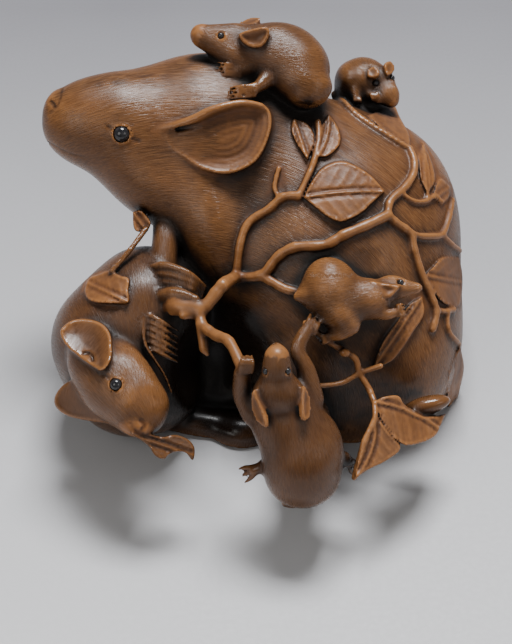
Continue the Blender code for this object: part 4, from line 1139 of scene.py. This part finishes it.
# How the hair lies: strands run round a point or away from it, as seen
HAIR = {
    "large": ("round", (-20, -30)),
    "large_head": ("round", (-20, -30)),
    "arm": ("away", (-28, 60)),
    "left": ("away", (-24, -46)),
    "left_head": ("away", (-24, -46)),
    "front": ("away", (6, 0)),
    "reach": ("away", (6, 0)),
    "middle": ("away", (60, 14)),
    "top": ("away", (-34, 88)),
    "second": ("away", (46, 58)),
}
PLAIN_HAIR = ("round", (-20, -30))

# How light and red, and how much darker, each part is, and which parts carry no hair. The darkening is painted
# shade on the reaching arms, which lie in shadow; on the other parts it is a plain darkening
GOLDEN = {"leaf": 0.75, "gnawed": 0.2, "vine": 0.65, "ear": 0.45, "left_ear": 0.05, "nose": 0.7,
          "paw": 0.1, "tail": 0.15}
DARKENED_PARTS = {"arm": 0.75, "foot": 0.75, "reach": 0.8, "gnawed": 0.85, "paw": 0.6, "front": 0.75,
        "second": 0.15, "ear": 0.2, "left_ear": 0.3, "vine": 0.1, "top": 0.5, "left": 0.75,
        "left_head": 0.15, "leaf": 0.1}
SMOOTH = ("leaf", "gnawed", "vine", "ear", "left_ear", "tail", "paw", "foot", "nose", "lid")
# Parts whose walls take the painted shadow of the dark room
ROOM_SHADE_PARTS = ("large", "large_head", "left", "foot")


def rise(value, low, width):
    """From 0 at low up to 1 a width further; a width below nothing makes it fall instead."""
    return np.clip((value - low) / width, 0, 1)


def wood_about(solid, reach, places):
    """Share of wood within a reach in mm of each place."""
    return block.read(blurred(solid, max(1, round(reach / CELL))), places)


def shade(solid, places, facings):
    """How much of the room above and in front each place is hidden by the carving, for the shade painted into
    the colour.
    """
    hidden = np.zeros(len(places))
    weight = np.zeros(len(places))
    for turn in range(10):
        for up in (0.15, 0.55, 0.9):
            flat = math.sqrt(1 - up * up)
            t = 2 * math.pi * (turn + up) / 10
            aim = np.array([math.cos(t) * flat, math.sin(t) * flat, up])
            facing = np.clip(facings @ aim, 0, 1)
            blocked = np.zeros(len(places), bool)
            for gone in (1.2, 2.4, 4, 6, 9, 12, 16, 21, 27, 34):
                q = ((places + aim * gone - block.low) / block.cell).round().astype(int)
                q = np.clip(q, 0, np.array(block.size) - 1)
                blocked |= solid[q[:, 0], q[:, 1], q[:, 2]] > 0.5
            hidden += facing * blocked
            weight += facing
    return np.where(weight > 0.2, hidden / np.maximum(weight, 0.2), 1.0)


def owners(co, parts):
    """Number of the part whose surface lies nearest to each place."""
    nearest = np.full(len(co), 9.0)
    owner = np.zeros(len(co), int)
    for shape in block.shapes:
        k = np.nonzero(((co > shape.low - 1.5) & (co < shape.high + 1.5)).all(1))[0]
        if len(k):
            d = np.abs(shape.distance(co[k, 0], co[k, 1], co[k, 2]))
            better = d < nearest[k]
            nearest[k[better]] = d[better]
            owner[k[better]] = parts.index(shape.part)
    return owner


def hair_flow(co, owner, parts):
    """Across the strands, along them and near, so that noise drawn out along them looks like hair."""
    across, up, near = seen_at(co[:, 0], co[:, 1], co[:, 2])
    flow = np.zeros((len(co), 3))
    for number, part in enumerate(parts):
        kind, (ca, cu) = HAIR.get(part, PLAIN_HAIR)
        m = owner == number
        r = np.hypot(across[m] - ca, up[m] - cu)
        turn = np.arctan2(up[m] - cu, across[m] - ca) * 60.0
        flow[m] = np.stack([r, turn, near[m]] if kind == "round" else [turn, r, near[m]], 1)
    return flow


def finish_and_shade_values(co, no):
    """All that the wood's finish and the shade painted on it need to know at each corner of the carving."""
    solid = (block.field < 0).astype(np.float32)
    just_out = co + no * 0.6
    fine, medium, wide = [wood_about(solid, reach, just_out) for reach in (1.0, 3.0, 7.0)]
    # Painted shade: places hidden from the light above and in front go dark, more so where the surface faces
    # down
    painted_shade = shade(solid, co + no * 0.7, no)
    painted_shade = np.clip(painted_shade + 0.35 * np.clip(-no[:, 2], 0, 1), 0, 1)
    # Painted shadow: inside the dark room between the rats the walls go darker
    room = egg_shape(at(-11, -17, 56), np.array((16, 23, 38)), PLAIN, 0.0, "room")
    room_shade = np.clip(1.0 - (room.distance(co[:, 0], co[:, 1], co[:, 2]) + 1.0) / 5.0, 0, 1)
    parts = sorted({s.part for s in block.shapes})
    owner = owners(co, parts)
    room_shaded = np.isin(owner, [parts.index(p) for p in ROOM_SHADE_PARTS])
    return {
        # hollow and crease: how shut in each place is; they give recesses dark patina and painted shade, and
        # make hollows duller
        "hollow": rise(medium, 0.45, 0.30) * 0.55 + rise(wide, 0.42, 0.30) * 0.65,
        "crease": rise(fine, 0.33, 0.22),
        "worn": rise(fine, 0.30, -0.16) * rise(medium, 0.50, -0.22),
        "golden": np.array([GOLDEN.get(p, 0.0) for p in parts])[owner],
        "smooth": np.array([1.0 if p in SMOOTH else 0.0 for p in parts])[owner],
        "darkened": np.array([DARKENED_PARTS.get(p, 0.0) for p in parts])[owner],
        "painted_shade": np.where(room_shaded, np.maximum(painted_shade, 0.62 * room_shade), painted_shade),
        "flow": hair_flow(co, owner, parts),
    }


for name, values in finish_and_shade_values(*corner_values(carving)).items():
    write_value(carving, name, values)


# Materials

class Wires:
    """Short hand for making and joining shader nodes."""

    def __init__(self, name):
        self.material = bpy.data.materials.new(name)
        self.material.use_nodes = True
        self.tree = self.material.node_tree
        self.shader = self.tree.nodes["Principled BSDF"]

    def node(self, kind, settings=None, **inputs):
        n = self.tree.nodes.new(kind)
        for key, value in (settings or {}).items():
            setattr(n, key, value)
        for key, value in inputs.items():
            self.put(n, key.replace("_", " "), value)
        return n

    def put(self, n, socket, value):
        s = n.inputs[int(socket) if socket.strip().isdigit() else socket]
        if isinstance(value, bpy.types.NodeSocket):
            self.tree.links.new(value, s)
        else:
            s.default_value = value

    def math(self, operation, a, b):
        return self.node("ShaderNodeMath", {"operation": operation}, **{"0": a, "1": b}).outputs[0]

    def times(self, a, b):
        return self.math("MULTIPLY", a, b)

    def plus(self, a, b):
        return self.math("ADD", a, b)

    def blend(self, share, a, b):
        """Colour a turning into b by a share."""
        sockets = {"0": share, "6": a, "7": b}
        return self.node("ShaderNodeMix", {"data_type": "RGBA", "clamp_factor": True}, **sockets).outputs[2]

    def attribute(self, name, output="Fac"):
        n = self.node("ShaderNodeAttribute", {"attribute_name": name, "attribute_type": "GEOMETRY"})
        return n.outputs[output]

    def pulled(self, vector, by):
        """A vector stretched or squeezed along its three parts."""
        sockets = {"0": vector, "1": by}
        return self.node("ShaderNodeVectorMath", {"operation": "MULTIPLY"}, **sockets).outputs[0]

    def noise(self, vector, scale, detail, rough=0.5):
        n = self.node("ShaderNodeTexNoise", Vector=vector, Scale=scale, Detail=detail, Roughness=rough)
        return n.outputs["Fac"]

    def spread(self, value, low, high, out_low=0.0, out_high=1.0):
        """Maps low..high of a value onto another range, held at its ends."""
        n = self.tree.nodes.new("ShaderNodeMapRange")
        self.put(n, "0", value)
        for i, v in enumerate((low, high, out_low, out_high)):
            n.inputs[i + 1].default_value = v
        return n.outputs[0]


# Colours of the wood, from the near black of the deepest hollows, dark patina with painted shade, to the
# polished ridges, and of the painted gleam on the hair
PATINA_AND_SHADE = (0.0060, 0.0032, 0.0020, 1)
DARK = (0.030, 0.0125, 0.0062, 1)
BROWN = (0.100, 0.039, 0.0140, 1)
TAN = (0.215, 0.092, 0.030, 1)
AMBER = (0.165, 0.056, 0.0140, 1)
RUST = (0.085, 0.029, 0.0100, 1)
GOLD = (0.235, 0.084, 0.018, 1)
WORN = (0.38, 0.160, 0.052, 1)
PAINTED_GLEAM = (0.33, 0.17, 0.065, 1)


def stained_wood():
    """Boxwood stained brown, worn light on its ridges, and dark in its hollows with patina and painted shade.
    """
    w = Wires("boxwood")
    flow = w.attribute("flow", "Vector")
    hair = w.noise(w.pulled(flow, (2.8, 0.20, 0.45)), 1.0, 2.0, 0.6)
    fine_hair = w.noise(w.pulled(flow, (6.2, 0.36, 0.9)), 1.0, 1.0, 0.5)
    place = w.node("ShaderNodeTexCoord").outputs["Object"]
    cloud = w.noise(place, 42.0, 3.0, 0.55)
    mottle = w.noise(place, 190.0, 4.0, 0.65)
    speck = w.noise(place, 900.0, 3.0, 0.6)
    hollow, crease, worn, golden, smooth, darkened, painted_shade = [
        w.attribute(name) for name in ("hollow", "crease", "worn", "golden", "smooth", "darkened", "painted_shade")]
    furry = w.math("SUBTRACT", 1.0, smooth)

    # Colour: stained ground and hair with a painted gleam, the redder leaves and stems, wear, then darkened
    # parts, patina with painted shade in creases and hollows, and painted shade where the light is hidden
    rind = w.blend(w.spread(mottle, 0.40, 0.60), RUST, w.blend(w.spread(speck, 0.4, 0.65), AMBER, GOLD))
    base = w.blend(w.spread(cloud, 0.40, 0.62), DARK, BROWN)
    for share, colour in ((w.times(w.spread(hair, 0.40, 0.62), 0.22), TAN),
                          (w.times(golden, w.spread(cloud, 0.34, 0.64, 0.45, 1.0)), rind),
                          (w.times(worn, 0.8), WORN),
                          (w.times(w.times(w.spread(fine_hair, 0.53, 0.36), 0.38), furry), DARK),
                          # Painted highlight: a gleam along the hair strands
                          (w.times(w.times(w.spread(fine_hair, 0.56, 0.74), 0.24), furry), PAINTED_GLEAM),
                          (w.times(w.spread(speck, 0.58, 0.75), 0.3), DARK),
                          # Whole parts darkened: painted shade on the reaching arms, a plain darkening on the
                          # rest
                          (w.times(darkened, 0.7), DARK),
                          # Near black in fine creases and deep hollows: dark patina and painted shade
                          (w.times(crease, 0.85), PATINA_AND_SHADE),
                          (w.spread(hollow, 0.08, 0.60), PATINA_AND_SHADE),
                          # Painted shade where the carving hides the light, under overhangs and in the dark
                          # room
                          (w.spread(painted_shade, 0.14, 0.62, 0.0, 0.97), PATINA_AND_SHADE)):
        base = w.blend(share, base, colour)
    w.put(w.shader, "Base Color", base)

    # Gloss: satin, with polished ridges and dull hollows
    rough = w.plus(w.spread(hair, 0.3, 0.7, 0.32, 0.46), w.times(golden, 0.24))
    rough = w.math("SUBTRACT", rough, w.times(worn, 0.24))
    w.put(w.shader, "Roughness", w.plus(rough, w.times(hollow, 0.3)))
    for socket, value in (("Specular IOR Level", 0.33), ("Coat Weight", 0.06), ("Coat Roughness", 0.28)):
        w.shader.inputs[socket].default_value = value

    # Fine relief: strands of hair on the rats, a soft grain on the rest
    height = w.plus(w.times(hair, w.times(furry, 0.7)), w.times(fine_hair, w.times(furry, 0.45)))
    height = w.plus(height, w.times(speck, 0.10))
    height = w.plus(height, w.times(mottle, w.times(smooth, 0.7)))
    bump = w.node("ShaderNodeBump", Strength=0.7, Distance=0.00022, Height=height)
    w.put(w.shader, "Normal", bump.outputs[0])
    return w.material


def dark_horn():
    """Polished dark horn with a faint cloud in it."""
    w = Wires("dark_horn")
    place = w.node("ShaderNodeTexCoord").outputs["Object"]
    cloud = w.noise(place, 700.0, 3.0)
    base = w.blend(w.spread(cloud, 0.35, 0.65), (0.010, 0.010, 0.012, 1), (0.030, 0.028, 0.030, 1))
    w.put(w.shader, "Base Color", base)
    w.put(w.shader, "Roughness", w.spread(cloud, 0.3, 0.7, 0.10, 0.20))
    return w.material


def floor_paper():
    """A plain floor, pale in front and greyer far off: a painted falloff of the light."""
    w = Wires("pale_floor")
    place = w.node("ShaderNodeTexCoord").outputs["Object"]
    cloud = w.noise(place, 6.0, 3.0)
    fibre = w.noise(place, 700.0, 2.0)
    far = w.node("ShaderNodeSeparateXYZ", Vector=place).outputs["Y"]
    # Painted falloff of the light: lighter near the front, greyer far off
    painted_falloff = w.blend(w.spread(far, -0.15, 0.17), (0.62, 0.62, 0.63, 1), (0.15, 0.147, 0.162, 1))
    base = w.blend(w.spread(cloud, 0.3, 0.7, 0.0, 0.08), painted_falloff, (0.75, 0.75, 0.76, 1))
    w.put(w.shader, "Base Color", base)
    w.put(w.shader, "Roughness", w.spread(fibre, 0.3, 0.7, 0.55, 0.70))
    return w.material


# The pieces, each with its finish and the solid it dresses

def dressed(piece, material, node):
    """Gives a piece its smooth finish, hangs it from the root body and hides the solid it stands for."""
    piece.data.materials.clear()
    piece.data.materials.append(material)
    for polygon in piece.data.polygons:
        polygon.use_smooth = True
    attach(piece, "root")
    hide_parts(node)


dressed(carving, stained_wood(), "carving")
horn = dark_horn()
for name, (centre, radius) in eyes.items():
    bpy.ops.mesh.primitive_uv_sphere_add(segments=40, ring_count=24, radius=radius * MM, location=centre * MM)
    bead = bpy.context.object
    bead.name = name + "_bead"
    dressed(bead, horn, name)


# Floor, light and camera

bpy.ops.mesh.primitive_plane_add(size=6.0)
floor = bpy.context.object
floor.name = "pale_floor"
floor.data.materials.append(floor_paper())


def lamp(name, place, aim, size, power, colour):
    """A soft rectangular lamp; places and sizes in metres, power in watts."""
    light = bpy.data.lights.new(name, "AREA")
    light.shape = "RECTANGLE"
    light.size, light.size_y = size
    light.energy = power
    light.color = colour
    obj = bpy.data.objects.new(name, light)
    bpy.context.scene.collection.objects.link(obj)
    obj.location = place
    obj.rotation_euler = (Vector(aim) - Vector(place)).to_track_quat("-Z", "Y").to_euler()


lamp("overhead", (0.10, 0.42, 1.10), (0, 0, 0.04), (0.5, 0.32), 25, (0.97, 0.98, 1.0))
lamp("front_left", (-0.60, -0.60, 0.70), (0, 0, 0.03), (0.6, 0.6), 3.2, (1.0, 0.97, 0.92))
lamp("front_right", (0.8, -0.5, 0.6), (0, 0, 0.03), (0.5, 0.5), 1.6, (1.0, 0.97, 0.93))

world = bpy.data.worlds.new("studio")
world.use_nodes = True
world.node_tree.nodes["Background"].inputs["Color"].default_value = (0.85, 0.87, 0.9, 1)
world.node_tree.nodes["Background"].inputs["Strength"].default_value = 0.18
bpy.context.scene.world = world

# A lens that shows the carving as large as the photo does, looking down at 45 degrees
LENS, SENSOR = 93.17, 36.0
aim = Vector((0, 0, LIFT * MM))
eye = aim + Vector((0, -SLOPE, SLOPE)) * SIGHT * MM
data = bpy.data.cameras.new("camera")
data.lens = LENS
data.sensor_width = SENSOR
camera = bpy.data.objects.new("camera", data)
bpy.context.scene.collection.objects.link(camera)
camera.location = eye
camera.rotation_euler = (aim - eye).to_track_quat("-Z", "Y").to_euler()
bpy.context.scene.camera = camera
